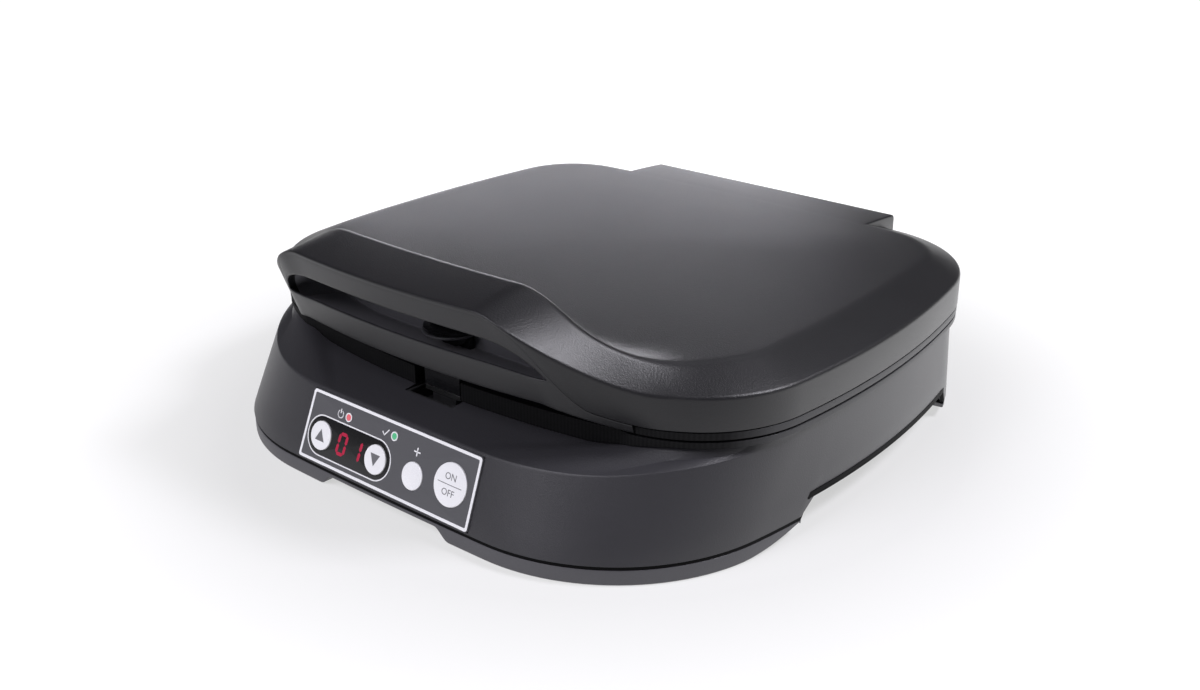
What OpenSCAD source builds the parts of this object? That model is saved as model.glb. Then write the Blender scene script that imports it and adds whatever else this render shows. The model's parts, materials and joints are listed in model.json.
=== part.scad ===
// Panini press, closed. Millimetres, +Z up, X across the front, -Y is the front.
// Every separate piece is its own node; the press stands on z = 0.

/* [Overall] */
// Width of the base across its deck, without the flare of the side walls
body_w = 330; // [290:1:370]
// Depth of the base from front foot line to rear wall
body_d = 318.5; // [300:0.5:345]
// Depth of the hinge housing behind the base's rear wall
tail_d = 8; // [6:0.5:14]
// Wall of the plastic housings
wall = 3; // [2:0.1:4]
// Gap between two housings that meet
seam = 0.3; // [0.2:0.05:0.5]

/* [Base] */
// Height of the base shell's lower edge over the table
skirt_z = 9.8; // [7:0.1:13]
// Height of the raised edge along the sides
notch_h = 9.1; // [5:0.1:14]
// Height of the deck at the front edge
deck_z = 45.3; // [40:0.1:50]
// Rise of the deck from its front edge to the plate frame
deck_rise = 2.6; // [1:0.1:5]
// Height of the base shell's upper edge along the sides
rim_z = 55.2; // [52:0.1:60]
// How far the front wall leans back over its height
front_lean = 13.4; // [6:0.1:18]
// How far each side wall stands out at its lower edge
side_flare = 2.4; // [0:0.1:4]
// Corner radius at the front, at the table
front_r = 95.2; // [70:1:120]
// Corner radius at the rear
rear_r = 72.6; // [50:1:90]
// Height of the corner feet of the bottom cover above the table
cover_lift = 0.4; // [0.3:0.1:1.5]
// Diameter of a rubber foot
pad_d = 15; // [10:0.5:18]

/* [Plate frames] */
// Visible height of the lower plate frame along the sides
frame_h = 3.15; // [2:0.05:4]
// Gap between the two plate frames when closed
split = 0.6; // [0.5:0.1:1.5]
// Visible height of the upper plate frame
top_frame_h = 4; // [3:0.1:6]
// How far lid and plate frames stand out past the base at the sides
overhang = 2.3; // [1:0.1:4]

/* [Cooking plates] */
// Distance from the lid's side to the side of a cooking plate
side_border = 17.3; // [15:0.1:40]
// Distance from the lid's front edge to the front of a cooking plate
front_border = 27.5; // [26:0.1:50]
// Distance from the rear of a cooking plate to the hinge axis
rear_border = 21.2; // [20:0.1:40]
// Corner radius of a cooking plate
plate_r = 24; // [10:1:30]
// Thickness of a plate without its ribs
plate_t = 5; // [3:0.1:6]
// Height of the ribs
rib_h = 3; // [2:0.1:4]
// Distance from rib to rib
rib_pitch = 12; // [8:0.5:20]
// Gap between the ribs of the two plates when closed
rib_gap = 1; // [0.6:0.1:2]
// Diameter of a tubular heating element
element_d = 6.5; // [5:0.1:8]

/* [Lid] */
// Height of the lid's side wall, up to the bevel
lid_wall_h = 16.65; // [12:0.05:20]
// Rise of the bevel band from wall to top
bevel_h = 9.05; // [6:0.05:12]
// Rise of the lid's top in the middle
dome_h = 3; // [1:0.1:6]
// Width of the bevel band at the sides
bevel_w = 22.4; // [18:0.1:30]
// Corner radius of the lid at the front
lid_front_r = 64.4; // [50:1:80]
// Thickness of the lid's skin
skin = 2.6; // [2:0.1:3.2]

/* [Handle] */
// Rise of the handle's front edge over the bevel
handle_rise = 36.1; // [28:0.1:40]
// Reach of the handle in front of the lid
handle_reach = 33.4; // [26:0.1:36]
// Height of the finger slot
slot_h = 13.9; // [12:0.1:16]
// Half width of the finger slot
slot_w = 86.3; // [80:0.1:88]
// How far the chin below the finger slot stands in front of the lid
chin_reach = 16; // [12:0.1:20]
// Height of the chin's lower edge over the split between the plate frames
chin_rise = 12.1; // [9:0.1:15]
// Height of the finger slot's lower edge over the chin's lower edge
lip_h = 16.6; // [14:0.1:19]
// Distance from the front of the chin to the back of the finger pocket
pocket_d = 35.7; // [32:0.1:38]

/* [Latch] */
// Width of the latch lever's leg
latch_w = 24; // [18:0.5:28]
// Radius of the half-round finger tab
tab_r = 15; // [12:0.5:16]
// Drop of the latch pin below the finger slot's lower edge
pin_drop = 0.2; // [-2:0.1:3]
// Diameter of the latch pin
latch_pin_d = 4; // [3:0.1:5]
// Turn of the latch lever
latch_turn = 10; // [6:0.5:12]

/* [Controls] */
// Width of the control panel
panel_w = 116.6; // [112:0.1:122]
// Height of the control panel along the slope
panel_h = 35.6; // [34:0.1:36]
// Radius of the large button
start_r = 10.35; // [8:0.05:11]
// Radius of the up and down buttons
arrow_r = 7.25; // [5:0.05:7.5]
// Radius of the small round button
more_r = 6.75; // [5:0.05:8]
// Travel of a button
press = 0.9; // [0.5:0.1:1.1]
// How far a button stands out of the panel
proud = 1.3; // [1.2:0.1:2]
// Gap around a button
button_gap = 0.2; // [0.15:0.05:0.4]

/* [Hinge] */
// Diameter of a hinge pin
pin_d = 6; // [5:0.1:7]
// Radial running clearance of a hinge pin in its bush
pin_gap = 0.05; // [0.02:0.01:0.09]
// Wall of a hinge bush
bush_t = 1.5; // [1:0.1:2]
// Radius of the hinge barrel
barrel_r = 11; // [9:0.1:11.5]
// Height of the hinge axis over the plate split
axis_up = 12.6; // [10:0.1:13]
// Half width of the hinge housing
tail_w = 85.5; // [80:1:92]

/* [Electrics] */
// Radius of the cord gland's bore
gland_r = 3.6; // [3:0.1:4.5]
// Thickness of a circuit board
pcb_t = 1.6; // [1.2:0.1:2]
// Diameter of a wire
wire_d = 2.4; // [2:0.1:3]

/* [Hidden] */
$fn = 48;
hw = body_w / 2;
y_front = -(body_d + tail_d) / 2;
y_rear = y_front + body_d;
y_tail = y_rear + tail_d;
y_side = 2.65;
side_r = body_w * 1.4907;
y_deck = y_front + front_lean;
deck_r = front_r + 14.6;
lean = atan2(front_lean, deck_z - skirt_z);
z_low_top = rim_z + seam + frame_h;
z_up_bot = z_low_top + split;
z_lid = z_up_bot + top_frame_h + seam;
z_h = z_lid + lid_wall_h - seam;
z_i = z_h + bevel_h;
lhw = hw + overhang;
y_lid = y_front + 38;
lid_r = 519.4;
y_lid_rear = y_rear + overhang;
z_axis = z_up_bot + axis_up;
y_axis = y_tail - skin - barrel_r - 1.4;
plate_w = 2 * (lhw - side_border);
y_plate_0 = y_lid + front_border;
y_plate_1 = y_axis - rear_border;
plate_d = y_plate_1 - y_plate_0;
y_plate = (y_plate_0 + y_plate_1) / 2;
z_tail = z_i - tail_d * 0.28;
y_tail_0 = y_lid_rear - bevel_w - 8;
y_chin = y_lid - chin_reach;
z_chin = z_up_bot + chin_rise;
y_pocket = y_chin + pocket_d;
z_slot = z_chin + lip_h;
z_rib_low = (z_low_top + z_up_bot - rib_gap) / 2;
z_rib_up = z_rib_low + rib_gap;
z_plate_under = z_rib_low - rib_h - plate_t;
z_plate_over = z_rib_up + rib_h + plate_t;
z_pan = z_plate_under - element_d - 5.1;
y_latch = y_pocket - 7;
z_latch = z_slot - pin_drop;
y_floor_z = skirt_z + notch_h;
y_notch_0 = y_front + 117;
y_notch_1 = y_rear - 55.8;
foot_gap = 40;
hatch = 16.2;
z_foot = deck_z + 1.2;
floor_t = 2.4;
gland_x = 70;
y_gland = y_rear - gland_x * gland_x / 6000;
gland_z = 32.6;
barrel_w = tail_w - 29.5;
arm_x = barrel_w + 2.4;
arm_holes = [arm_x + 10.6, arm_x + 17.6];
NF = 12;
NC = 8;
NS = 8;
NR = 6;
NB = 4;

// ---- plan curves: three tangent arcs to a corner ----
function sm(t) = let(c = min(1, max(0, t))) c * c * (3 - 2 * c);
function bump(x, x1, x2) = sm((x2 - abs(x)) / (x2 - x1));
function cross_pt(cf, cs, r1, r2) = let(d = norm(cs - cf), ex = (cs - cf) / d,
  t = (d * d + r1 * r1 - r2 * r2) / (2 * d), h = sqrt(max(0, r1 * r1 - t * t)),
  p = cf + t * ex, q = [-ex[1], ex[0]] * h, a = p + q, b = p - q)
  (a[0] - a[1] > b[0] - b[1]) ? a : b;
function arc(c, r, a0, a1, n) = [for (i = [0 : n - 1]) let(a = a0 + (a1 - a0) * i / n)
  c + r * [cos(a), sin(a)]];
function ang(v) = atan2(v[1], v[0]);
function quarter(a, ys, rs, rc, rf, yf) = let(cf = [0, yf + rf], cs = [a - rs, ys],
  c = cross_pt(cf, cs, rf - rc, rs - rc)) [cf, cs, c, ang(c - cf), ang(c - cs)];
function half(a, ys, rs, rc, rf, yf, rcr, rr, yr) =
  let(f = quarter(a, ys, rs, rc, rf, yf), b = quarter(a, -ys, rs, rcr, rr, -yr))
  concat(arc(f[0], rf, -90, f[3], NF), arc(f[2], rc, f[3], f[4], NC),
    arc(f[1], rs, f[4], -b[4], NS), arc([b[2][0], -b[2][1]], rcr, -b[4], -b[3], NR),
    arc([0, -b[0][1]], rr, -b[3], 90, NB), [[0, yr]]);
function ring(h) = concat(h, [for (i = [len(h) - 2 : -1 : 1]) [-h[i][0], h[i][1]]]);
// outline of the base at w = 0 (lower edge) to 1 (deck edge), k inwards
function base_ring(w, k = 0) = ring(half(hw + side_flare * (1 - w) - k, y_side, side_r - k,
  front_r + (deck_r - front_r) * w - k, 3000, y_front + front_lean * w + k, rear_r - k, 3000, y_rear - k));
// outline of the lid and the plate frames, k inwards
function lid_ring(k = 0, yr = y_lid_rear) = ring(half(lhw - k, y_side, side_r - k, lid_front_r - k,
  lid_r - k, y_lid + k, rear_r - k, 3000, yr - k));
// crease between bevel and top
function crease_ring(k = 0) = ring(half(lhw - bevel_w - k, y_side - 6, side_r * 1.734 - k,
  42.4 - k, 922.5 - k, y_lid + bevel_w + 3.66 + k, 50.9 - k, 2000, y_lid_rear - bevel_w - 3.4 - k));
// outline of the opening that holds a plate
function plate_ring(k = 0) = ring(half(plate_w / 2 - k, 0, 2000, plate_r - k, 2000,
  y_plate_0 + k, plate_r - k, 2000, y_plate_1 - k));
function deck_w(y) = sm((y - y_deck) / -y_deck);
function deck_at(y) = deck_z + (rim_z - deck_z) * deck_w(y);
function up(r, z) = [for (p = r) [p[0], p[1], z]];

// ---- lofted solids ----
function quads(n, m) = [for (j = [0 : m - 2]) for (i = [0 : n - 1])
  [j * n + i, j * n + (i + 1) % n, (j + 1) * n + (i + 1) % n, (j + 1) * n + i]];
module tube_loft(rings) {
  n = len(rings[0]);
  m = len(rings);
  pts = [for (r = rings) for (p = r) p];
  shut = [for (i = [0 : n - 1]) [(m - 1) * n + i, (m - 1) * n + (i + 1) % n, (i + 1) % n, i]];
  polyhedron(points = pts, faces = [for (f = concat(quads(n, m), shut)) [f[3], f[2], f[1], f[0]]]);
}
module shell_loft(outer, inner) {
  n = len(outer[0]);
  a = len(outer);
  b = len(inner);
  pts = [for (r = concat(inner, outer)) for (p = r) p];
  q = quads(n, a + b);
  lid_cap = [for (i = [0 : n - 1]) (a + b - 1) * n + i];
  in_cap = [for (i = [n - 1 : -1 : 0]) i];
  polyhedron(points = pts,
    faces = [for (f = concat(q, [lid_cap, in_cap])) [for (i = [len(f) - 1 : -1 : 0]) f[i]]]);
}
module slab(r, z, h) {
  translate([0, 0, z]) linear_extrude(height = h) polygon(r);
}
module slab_ring(r_out, r_in, z, h) {
  translate([0, 0, z]) linear_extrude(height = h) difference() {
    polygon(r_out);
    polygon(r_in);
  }
}
module rod_x(x, y, z, r, l) {
  translate([x, y, z]) rotate([0, 90, 0]) cylinder(r = r, h = l, center = true);
}
module box(lo, hi) {
  translate(lo) cube(hi - lo);
}
module both() {
  children();
  mirror([1, 0, 0]) children();
}
// frame of the control panel: X across, Y up the slope, Z out of the panel
module on_panel() {
  translate([0, (y_front + y_deck) / 2, (skirt_z + deck_z) / 2]) rotate([90 - lean, 0, 0]) children();
}

// ---- lid surface ----
// upper front edge of the handle, lower front edge of the chin, and the crease behind the handle
function k1(p) = [p[0], p[1] - handle_reach * bump(p[0], 70.2, 135.2),
  z_h + handle_rise * bump(p[0], 58, 126.8)];
function chin(p) = [p[0], p[1] - chin_reach * bump(p[0], 81.3, 117.3),
  z_up_bot + chin_rise * bump(p[0], 76.9, 117.2)];
function k2(p) = [p[0], p[1] - (handle_reach - 1.6) * bump(p[0], 85.4, 141.4) * (p[1] < 0 ? 1 : 0),
  z_i + (handle_rise - 4.9) * bump(p[0], 45.7, 140.7) * (p[1] < 0 ? 1 : 0)];
// parting line between lid and handle front: 0 at the chin's edge, 1 at the handle's
t_lid = (z_lid - z_up_bot) / (z_h - z_up_bot);
function seam_t(x) = t_lid + (0.97 - t_lid) * bump(x, 76, 100.5);
function on_front(p, t) = let(a = chin(p), b = k1(p)) a + (b - a) * t;
function wall_pt(p, t) = p[1] < 0 ? on_front(p, t) : [p[0], p[1], z_lid + (z_h - z_lid) * t];
function wall_line(r, d, dz) = [for (p = r) let(q = wall_pt(p, p[1] < 0 ? seam_t(p[0]) : 0))
  [q[0], q[1], q[2] + dz]];
function rim_line(r, dz) = [for (p = r) let(q = wall_pt(p, 1)) [q[0], q[1], q[2] + dz]];
function top_line(r, s, dz) = [for (p = r) let(q = k2(p), f = pow(max(0, (s - 0.6) / 0.4), 1.8), c = [0, 12])
  [c[0] + (q[0] - c[0]) * s, c[1] + (q[1] - c[1]) * s, z_i + (q[2] - z_i) * f + dome_h * (1 - s * s) + dz]];

module lid_skin() {
  steps = [1, 0.92, 0.84, 0.76, 0.68, 0.6, 0.3];
  outer = concat([wall_line(lid_ring(0), 0, 0), rim_line(lid_ring(0), 0)],
    [for (s = steps) top_line(crease_ring(0), s, 0)]);
  inner = concat([for (i = [len(steps) - 1 : -1 : 0]) top_line(crease_ring(0), steps[i], -skin)],
    [rim_line(lid_ring(skin * 1.35), -skin), wall_line(lid_ring(skin), 0, 0)]);
  shell_loft(outer, inner);
}
module along_x(w, pts) {
  rotate([90, 0, 90]) linear_extrude(height = 2 * w, center = true) polygon(pts);
}
module lid_shell() color([0.27, 0.27, 0.28]) {
  difference() {
    union() {
      lid_skin();
      along_x(tail_w, [[y_tail_0, z_i], [y_tail_0, z_i - skin], [y_tail - skin, z_tail - skin],
        [y_tail - skin, z_axis + 3], [y_tail, z_axis + 3], [y_tail, z_tail]]);
      both() translate([tail_w - skin / 2, 0, 0]) along_x(skin / 2, [[y_lid_rear - skin - 4, z_axis],
        [y_tail, z_axis], [y_tail, z_tail - 0.2], [y_lid_rear - skin - 4, z_tail - 0.2]]);
    }
    along_x(tail_w - skin, [[y_tail_0 + 6, z_lid - 5], [y_tail_0 + 6, z_i - skin - 0.6],
      [y_tail - skin, z_tail - skin], [y_tail - skin, z_lid - 5]]);
  }
}

// ---- base ----
function foot_at(f) = let(
  q = quarter(hw, f ? y_side : -y_side, side_r, f ? front_r : rear_r, 3000, f ? y_front : -y_rear),
  r = (f ? front_r : rear_r) - 13) [q[2][0] + r * cos(50), (f ? 1 : -1) * (q[2][1] - r * sin(50))];
function boss_at() = [plate_w / 2 - 25, plate_d / 2 - 21];
module at_feet() {
  both() {
    translate(foot_at(true)) children();
    translate(foot_at(false)) children();
  }
}
module at_bosses() {
  b = boss_at();
  for (x = [-b[0], b[0]], y = [y_plate - b[1], y_plate + b[1]]) translate([x, y, 0]) children();
}
module side_notch(top) {
  rotate([90, 0, 90]) linear_extrude(height = body_w + 20, center = true)
    polygon([[y_notch_0 - 5.5, skirt_z - 20], [y_notch_0 - 5.5, skirt_z - 0.01], [y_notch_0 - 0.3, top],
      [y_notch_1, top], [y_notch_1 + 3.6, skirt_z - 0.01], [y_notch_1 + 3.6, skirt_z - 20]]);
}
module base_shell() color([0.3, 0.3, 0.31]) {
  rings = [up(base_ring(0), skirt_z), [for (p = base_ring(1)) [p[0], p[1], deck_at(p[1])]],
    [for (p = lid_ring(12)) [p[0], p[1], deck_at(p[1]) + deck_rise * (1 - deck_w(p[1]))]],
    [for (p = lid_ring(12)) [p[0], p[1], deck_at(p[1]) + deck_rise * (1 - deck_w(p[1])) - wall]],
    [for (p = base_ring(1, wall)) [p[0], p[1], deck_at(p[1]) - wall * 1.1]], up(base_ring(0, wall), skirt_z)];
  difference() {
    tube_loft(rings);
    side_notch(y_floor_z);
    box([-tail_w - 2, y_lid_rear - 27, z_axis - 23.3], [tail_w + 2, y_rear + 10, z_axis + 20]);
    slab(plate_ring(-1.2), z_plate_under - 1, 20);
    on_panel()
      box([-panel_w / 2 - 0.1, -panel_h / 2 - 0.1, -1.8], [panel_w / 2 + 0.1, panel_h / 2 + 0.1, 10]);
    on_panel() box([-panel_w / 2 + 2, -panel_h / 2 + 4, -8], [panel_w / 2 - 2, panel_h / 2 - 4, 1]);
    box([-hatch - 0.2, y_latch - 16.5, deck_z - 10], [hatch + 0.2, y_latch + 9, rim_z]);
    translate([gland_x, y_gland - 10, gland_z]) rotate([-90, 0, 0]) cylinder(r = gland_r + 2.8, h = 20);
  }
}
module bottom_cover() color([0.36, 0.36, 0.37]) {
  difference() {
    union() {
      slab(base_ring(0.36, wall + 0.6), y_floor_z, floor_t);
      slab_ring(base_ring(0.3, wall + 0.6), base_ring(0.3, wall + 3), skirt_z - seam - 1, notch_h + seam + 2);
      difference() {
        slab_ring(base_ring(0, 0.3), base_ring(0, 26), cover_lift, skirt_z - seam - cover_lift);
        box([-foot_gap, y_front - 5, -1], [foot_gap, -80, skirt_z - 3.8]);
        box([-60, 100, -1], [60, y_rear + 5, skirt_z - 3.8]);
      }
      at_bosses() translate([0, 0, y_floor_z + 1]) cylinder(r = 5, h = z_pan - 1 - y_floor_z - 1);
      for (x = [-104, -16], y = [-94, -36]) translate([x, y, y_floor_z + 1]) cylinder(r = 3, h = 5);
      box([-panel_w / 2 - 1.6, y_front + 19.5, skirt_z - 1],
        [panel_w / 2 + 1.6, y_front + 22, y_floor_z + 1]);
    }
    difference() {
      side_notch(y_floor_z);
      box([-hw - 20, -200, y_floor_z - 0.001], [hw + 20, 200, 90]);
    }
    at_feet() translate([0, 0, -1]) cylinder(d = pad_d + 0.4, h = 4.2);
    at_bosses() translate([0, 0, y_floor_z - 1]) cylinder(r = 1.6, h = 18);
    box([-panel_w / 2, y_front - 1, skirt_z - seam], [panel_w / 2, y_front + 19.5, rim_z]);
  }
}
module rubber_feet() color([0.1, 0.1, 0.1]) {
  at_feet() cylinder(d = pad_d, h = 3.1);
}
module cover_screws() color([0.6, 0.6, 0.62]) {
  at_bosses() {
    translate([0, 0, y_floor_z - 2]) cylinder(r = 3.4, h = 2);
    translate([0, 0, y_floor_z - 0.5]) cylinder(r = 1.5, h = 14);
  }
}
function frame_low(y) = min(rim_z, deck_at(y) + deck_rise * (1 - deck_w(y))) + seam;
module latch_gate(z0, z1) {
  box([-latch_w / 2 - 2, y_lid - 10, z0], [latch_w / 2 + 2, y_latch + 6, z1]);
}
module lower_frame() color([0.24, 0.24, 0.25]) {
  difference() {
    tube_loft([[for (p = lid_ring(0)) [p[0], p[1], frame_low(p[1])]], up(lid_ring(0), z_low_top),
      up(plate_ring(-0.6), z_low_top), [for (p = plate_ring(-0.6)) [p[0], p[1], frame_low(p[1])]]]);
    latch_gate(30, 80);
    box([-tail_w - 2, y_plate_1 + 7.6, 30], [tail_w + 2, y_rear + 20, 80]);
  }
}
module rib_set(z) {
  n = floor((plate_w - 24) / rib_pitch / 2);
  for (i = [-n : n])
    box([i * rib_pitch - 2.4, y_plate_0 + 8, z], [i * rib_pitch + 2.4, y_plate_1 - 8, z + rib_h + 0.5]);
}
module lower_plate() color([0.17, 0.17, 0.18]) {
  z0 = z_rib_low - rib_h - plate_t;
  difference() {
    union() {
      slab(plate_ring(0), z0, plate_t);
      rib_set(z0 + plate_t - 0.5);
    }
    translate([0, y_plate_1 - 11, z0 - 1]) cylinder(r = 1.6, h = 4);
  }
}
module upper_plate() color([0.17, 0.17, 0.18]) {
  slab(plate_ring(0), z_rib_up + rib_h, plate_t);
  rib_set(z_rib_up);
}
function unit(v) = v / norm(v);
module sweep(path, r, n = 8) {
  m = len(path);
  pts = [for (j = [0 : m - 1]) let(a = path[max(0, j - 1)], b = path[min(m - 1, j + 1)], t = unit(b - a),
    g = abs(t[2]) > 0.95 ? [1, 0, 0] : [0, 0, 1], s = unit(cross(t, g)), u = cross(s, t))
    for (i = [0 : n - 1]) path[j] + r * (cos(360 * i / n) * s + sin(360 * i / n) * u)];
  polyhedron(points = pts,
    faces = concat(quads(n, m), [[for (i = [n - 1 : -1 : 0]) i], [for (i = [0 : n - 1]) (m - 1) * n + i]]));
}
function loop_path(z, dz) = let(x = plate_w / 2 - 36, y0 = y_plate_0 + 34, y1 = y_plate_1 - 34, r = 30)
  concat([[24, y1, z + dz * 10], [25, y1, z + dz * 3], [31, y1, z]],
    [for (a = [90 : -15 : 0]) [x - r + r * cos(a), y1 - r + r * sin(a), z]],
    [for (a = [0 : -15 : -90]) [x - r + r * cos(a), y0 + r + r * sin(a), z]],
    [for (a = [-90 : -15 : -180]) [-x + r + r * cos(a), y0 + r + r * sin(a), z]],
    [for (a = [180 : -15 : 90]) [-x + r + r * cos(a), y1 - r + r * sin(a), z]],
    [[-31, y1, z], [-25, y1, z + dz * 3], [-24, y1, z + dz * 10]]);
module lower_element() color([0.55, 0.53, 0.5]) {
  sweep(loop_path(z_plate_under - element_d / 2 - 0.3, -1), element_d / 2);
}
module upper_element() color([0.55, 0.53, 0.5]) {
  sweep(loop_path(z_plate_over + element_d / 2 + 0.3, 1), element_d / 2);
}
module pan(z0, h, floor_z) {
  slab_ring(plate_ring(5), plate_ring(5.8), z0, h);
  difference() {
    slab(plate_ring(5.4), floor_z, 0.8);
    for (x = [-24, 24]) translate([x, y_plate_1 - 34, floor_z - 1]) cylinder(r = element_d / 2 + 0.8, h = 3);
  }
}
module lower_reflector() color([0.72, 0.72, 0.73]) {
  difference() {
    pan(z_pan, z_plate_under - z_pan - 0.2, z_pan);
    at_bosses() translate([0, 0, z_pan - 1]) cylinder(r = 1.8, h = 4);
  }
}
module upper_reflector() color([0.72, 0.72, 0.73]) {
  pan(z_plate_over + 0.2, element_d + 3.3, z_plate_over + element_d + 2.7);
}
module plate_insulators() color([0.85, 0.83, 0.78]) {
  at_bosses() translate([0, 0, z_pan + 0.8]) cylinder(r = 6, h = z_plate_under - z_pan - 0.8);
}
module hinge_block() color([0.26, 0.26, 0.27]) {
  difference() {
    union() {
      box([-tail_w + 1, y_plate_1 + 3, z_axis - 28], [tail_w - 1, y_rear - wall - 2, z_axis - 23.6]);
      box([-barrel_w, y_axis - 10.5, z_axis - 26], [barrel_w, y_axis - 0.5, z_axis]);
      rod_x(0, y_axis, z_axis, barrel_r, 2 * barrel_w);
    }
    both() rod_x(barrel_w - 12, y_axis, z_axis, pin_d / 2 + pin_gap + bush_t, 26);
  }
}
module hinge_bushes() color([0.75, 0.6, 0.35]) {
  both() difference() {
    rod_x(barrel_w - 11.8, y_axis, z_axis, pin_d / 2 + pin_gap + bush_t, 23.6);
    rod_x(barrel_w - 12, y_axis, z_axis, pin_d / 2 + pin_gap, 40);
  }
}
module hinge_pins() color([0.7, 0.7, 0.72]) {
  both() {
    rod_x(barrel_w - 7, y_axis, z_axis, pin_d / 2, 30);
    rod_x(barrel_w + 9, y_axis, z_axis, pin_d / 2 + 1.6, 2.4);
  }
}
module hinge_arms() color([0.6, 0.6, 0.62]) {
  both() difference() {
    union() {
      rod_x(arm_x + 2, y_axis, z_axis, 7.5, 4);
      box([arm_x, y_plate_1 + 6.7, z_axis - 6], [arm_x + 4, y_axis, z_axis + 6]);
      box([arm_x, y_plate_1 + 6.7, z_axis - 6], [arm_x + 21.6, y_plate_1 + 9.2, z_axis + 7]);
    }
    rod_x(arm_x + 2, y_axis, z_axis, pin_d / 2, 12);
    for (x = arm_holes)
      translate([x, y_plate_1 + 5, z_axis + 1]) rotate([-90, 0, 0]) cylinder(r = 1.6, h = 8);
  }
}
module arm_screws() color([0.5, 0.5, 0.52]) {
  both() for (x = arm_holes) translate([x, y_plate_1, z_axis + 1]) rotate([-90, 0, 0]) {
    translate([0, 0, 3]) cylinder(r = 1.5, h = 8);
    translate([0, 0, 9.3]) cylinder(r = 2.9, h = 1.8);
  }
}

// ---- latch ----
module latch_magnet() color([0.35, 0.35, 0.37]) {
  box([-8, y_latch - 6, z_foot - 6.6], [8, y_latch + 3, z_foot - 0.5]);
}
module magnet_housing() color([0.16, 0.16, 0.17]) {
  difference() {
    box([-hatch, y_latch - 16.3, z_foot - 8.3], [hatch, y_latch + 8.8, deck_z + 2]);
    box([-hatch + 1.6, y_latch - 14.7, z_foot - 6.6], [hatch - 1.6, y_latch + 7.2, deck_z + 9]);
  }
}
module latch_lever() color([0.12, 0.12, 0.13]) {
  difference() {
    union() {
      rod_x(0, y_latch, z_latch, 4.3, latch_w);
      intersection() {
        translate([0, y_latch + 1.2, z_latch - 2]) rotate([90, 0, 0]) cylinder(r = tab_r, h = 2.2);
        box([-20, y_latch - 5, z_latch - 30], [20, y_latch + 5, z_latch - 3.6]);
      }
      box([-latch_w / 2, y_latch + 1, z_foot + 2.6], [latch_w / 2, y_latch + 4, z_latch]);
      box([-latch_w / 2, y_latch - 7, z_foot + 2.6], [latch_w / 2, y_latch + 4, z_lid + 2]);
    }
    rod_x(0, y_latch, z_latch, latch_pin_d / 2 + 0.09, latch_w + 4);
  }
}
module latch_armature() color([0.7, 0.7, 0.72]) {
  box([-latch_w / 2, y_latch - 7, z_foot], [latch_w / 2, y_latch + 4, z_foot + 2.6]);
}
module latch_pin() color([0.7, 0.7, 0.72]) {
  rod_x(0, y_latch, z_latch, latch_pin_d / 2, 39);
}
module latch_spring() color([0.6, 0.6, 0.62]) {
  both() for (i = [0 : 2]) translate([latch_w / 2 + 0.7 + i * 1.05, y_latch, z_latch]) rotate([0, 90, 0])
    rotate_extrude() translate([latch_pin_d / 2 + 0.7, 0]) circle(r = 0.45, $fn = 16);
}

// ---- handle front with its finger pocket ----
function lid_y(x) = y_lid + lid_r - sqrt(lid_r * lid_r - x * x);
function front_top(p) = seam_t(p[0]) - (seam + 0.2) / norm(k1(p) - chin(p));
function front_y(x, z) = let(p = [x, lid_y(x)], a = chin(p), b = k1(p))
  a[1] + (b[1] - a[1]) * (z - a[2]) / (b[2] - a[2]);
module handle_face() {
  cols = [for (x = [-114 : 6 : 114]) let(p = [x, lid_y(x)], a = on_front(p, 0), b = on_front(p, front_top(p)),
    d = [0, wall, 0])
    [a, b, b + d, a + d]];
  m = len(cols);
  polyhedron(points = [for (c = cols) for (q = c) q],
    faces = concat(quads(4, m), [[3, 2, 1, 0], [4 * m - 4, 4 * m - 3, 4 * m - 2, 4 * m - 1]]));
}
NP = 16;
function s_low(u) = z_slot - 1.6 * pow(abs(u), 3);
function s_up(u) = s_low(u) + slot_h * (1 - pow(abs(u), 11));
function m_low(u) = z_chin + 2.6 + 6.6 * pow(abs(u), 8);
function b_low(u) = z_chin - 0.8 + 6.6 * pow(abs(u), 8);
function b_up(u) = min(s_up(u), z_slot + slot_h - 6.4 - 9.1 * pow(abs(u), 4));
// kind 0 at the slot, 1 behind the face, 2 at the back; g grows the ring
function p_low(u, kind) = kind == 0 ? s_low(u) : kind == 1 ? m_low(u) : b_low(u);
function p_up(u, kind) = kind == 2 ? b_up(u) : s_up(u);
function p_pt(u, kind, g, dy, low) = let(x = u * (slot_w * (kind == 2 ? 0.93 : 1) + g),
  z = (low ? p_low(u, kind) - g : p_up(u, kind) + g * (1 - pow(abs(u), 12))))
  [x, kind == 2 ? dy : front_y(x, z) + dy, z];
function p_ring(kind, g, dy) = concat([for (i = [0 : NP]) p_pt(-cos(180 * i / NP), kind, g, dy, false)],
  [for (i = [NP - 1 : -1 : 1]) p_pt(-cos(180 * i / NP), kind, g, dy, true)]);
module slot_cut() {
  a = p_ring(0, 0, -6);
  b = p_ring(0, 0, wall + 0.6);
  n = len(a);
  f = concat(quads(n, 2), [[for (i = [n - 1 : -1 : 0]) i], [for (i = [0 : n - 1]) n + i]]);
  polyhedron(points = concat(a, b), faces = [for (q = f) [for (i = [len(q) - 1 : -1 : 0]) q[i]]]);
}
module pocket() {
  shell_loft([p_ring(0, 2.3, 1.5), p_ring(1, 2.3, 4.5), p_ring(2, 2.3, y_pocket)],
    [p_ring(2, 0, y_pocket - 2.4), p_ring(1, 0, 4.5), p_ring(0, 0.3, 1.5)]);
}
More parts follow.
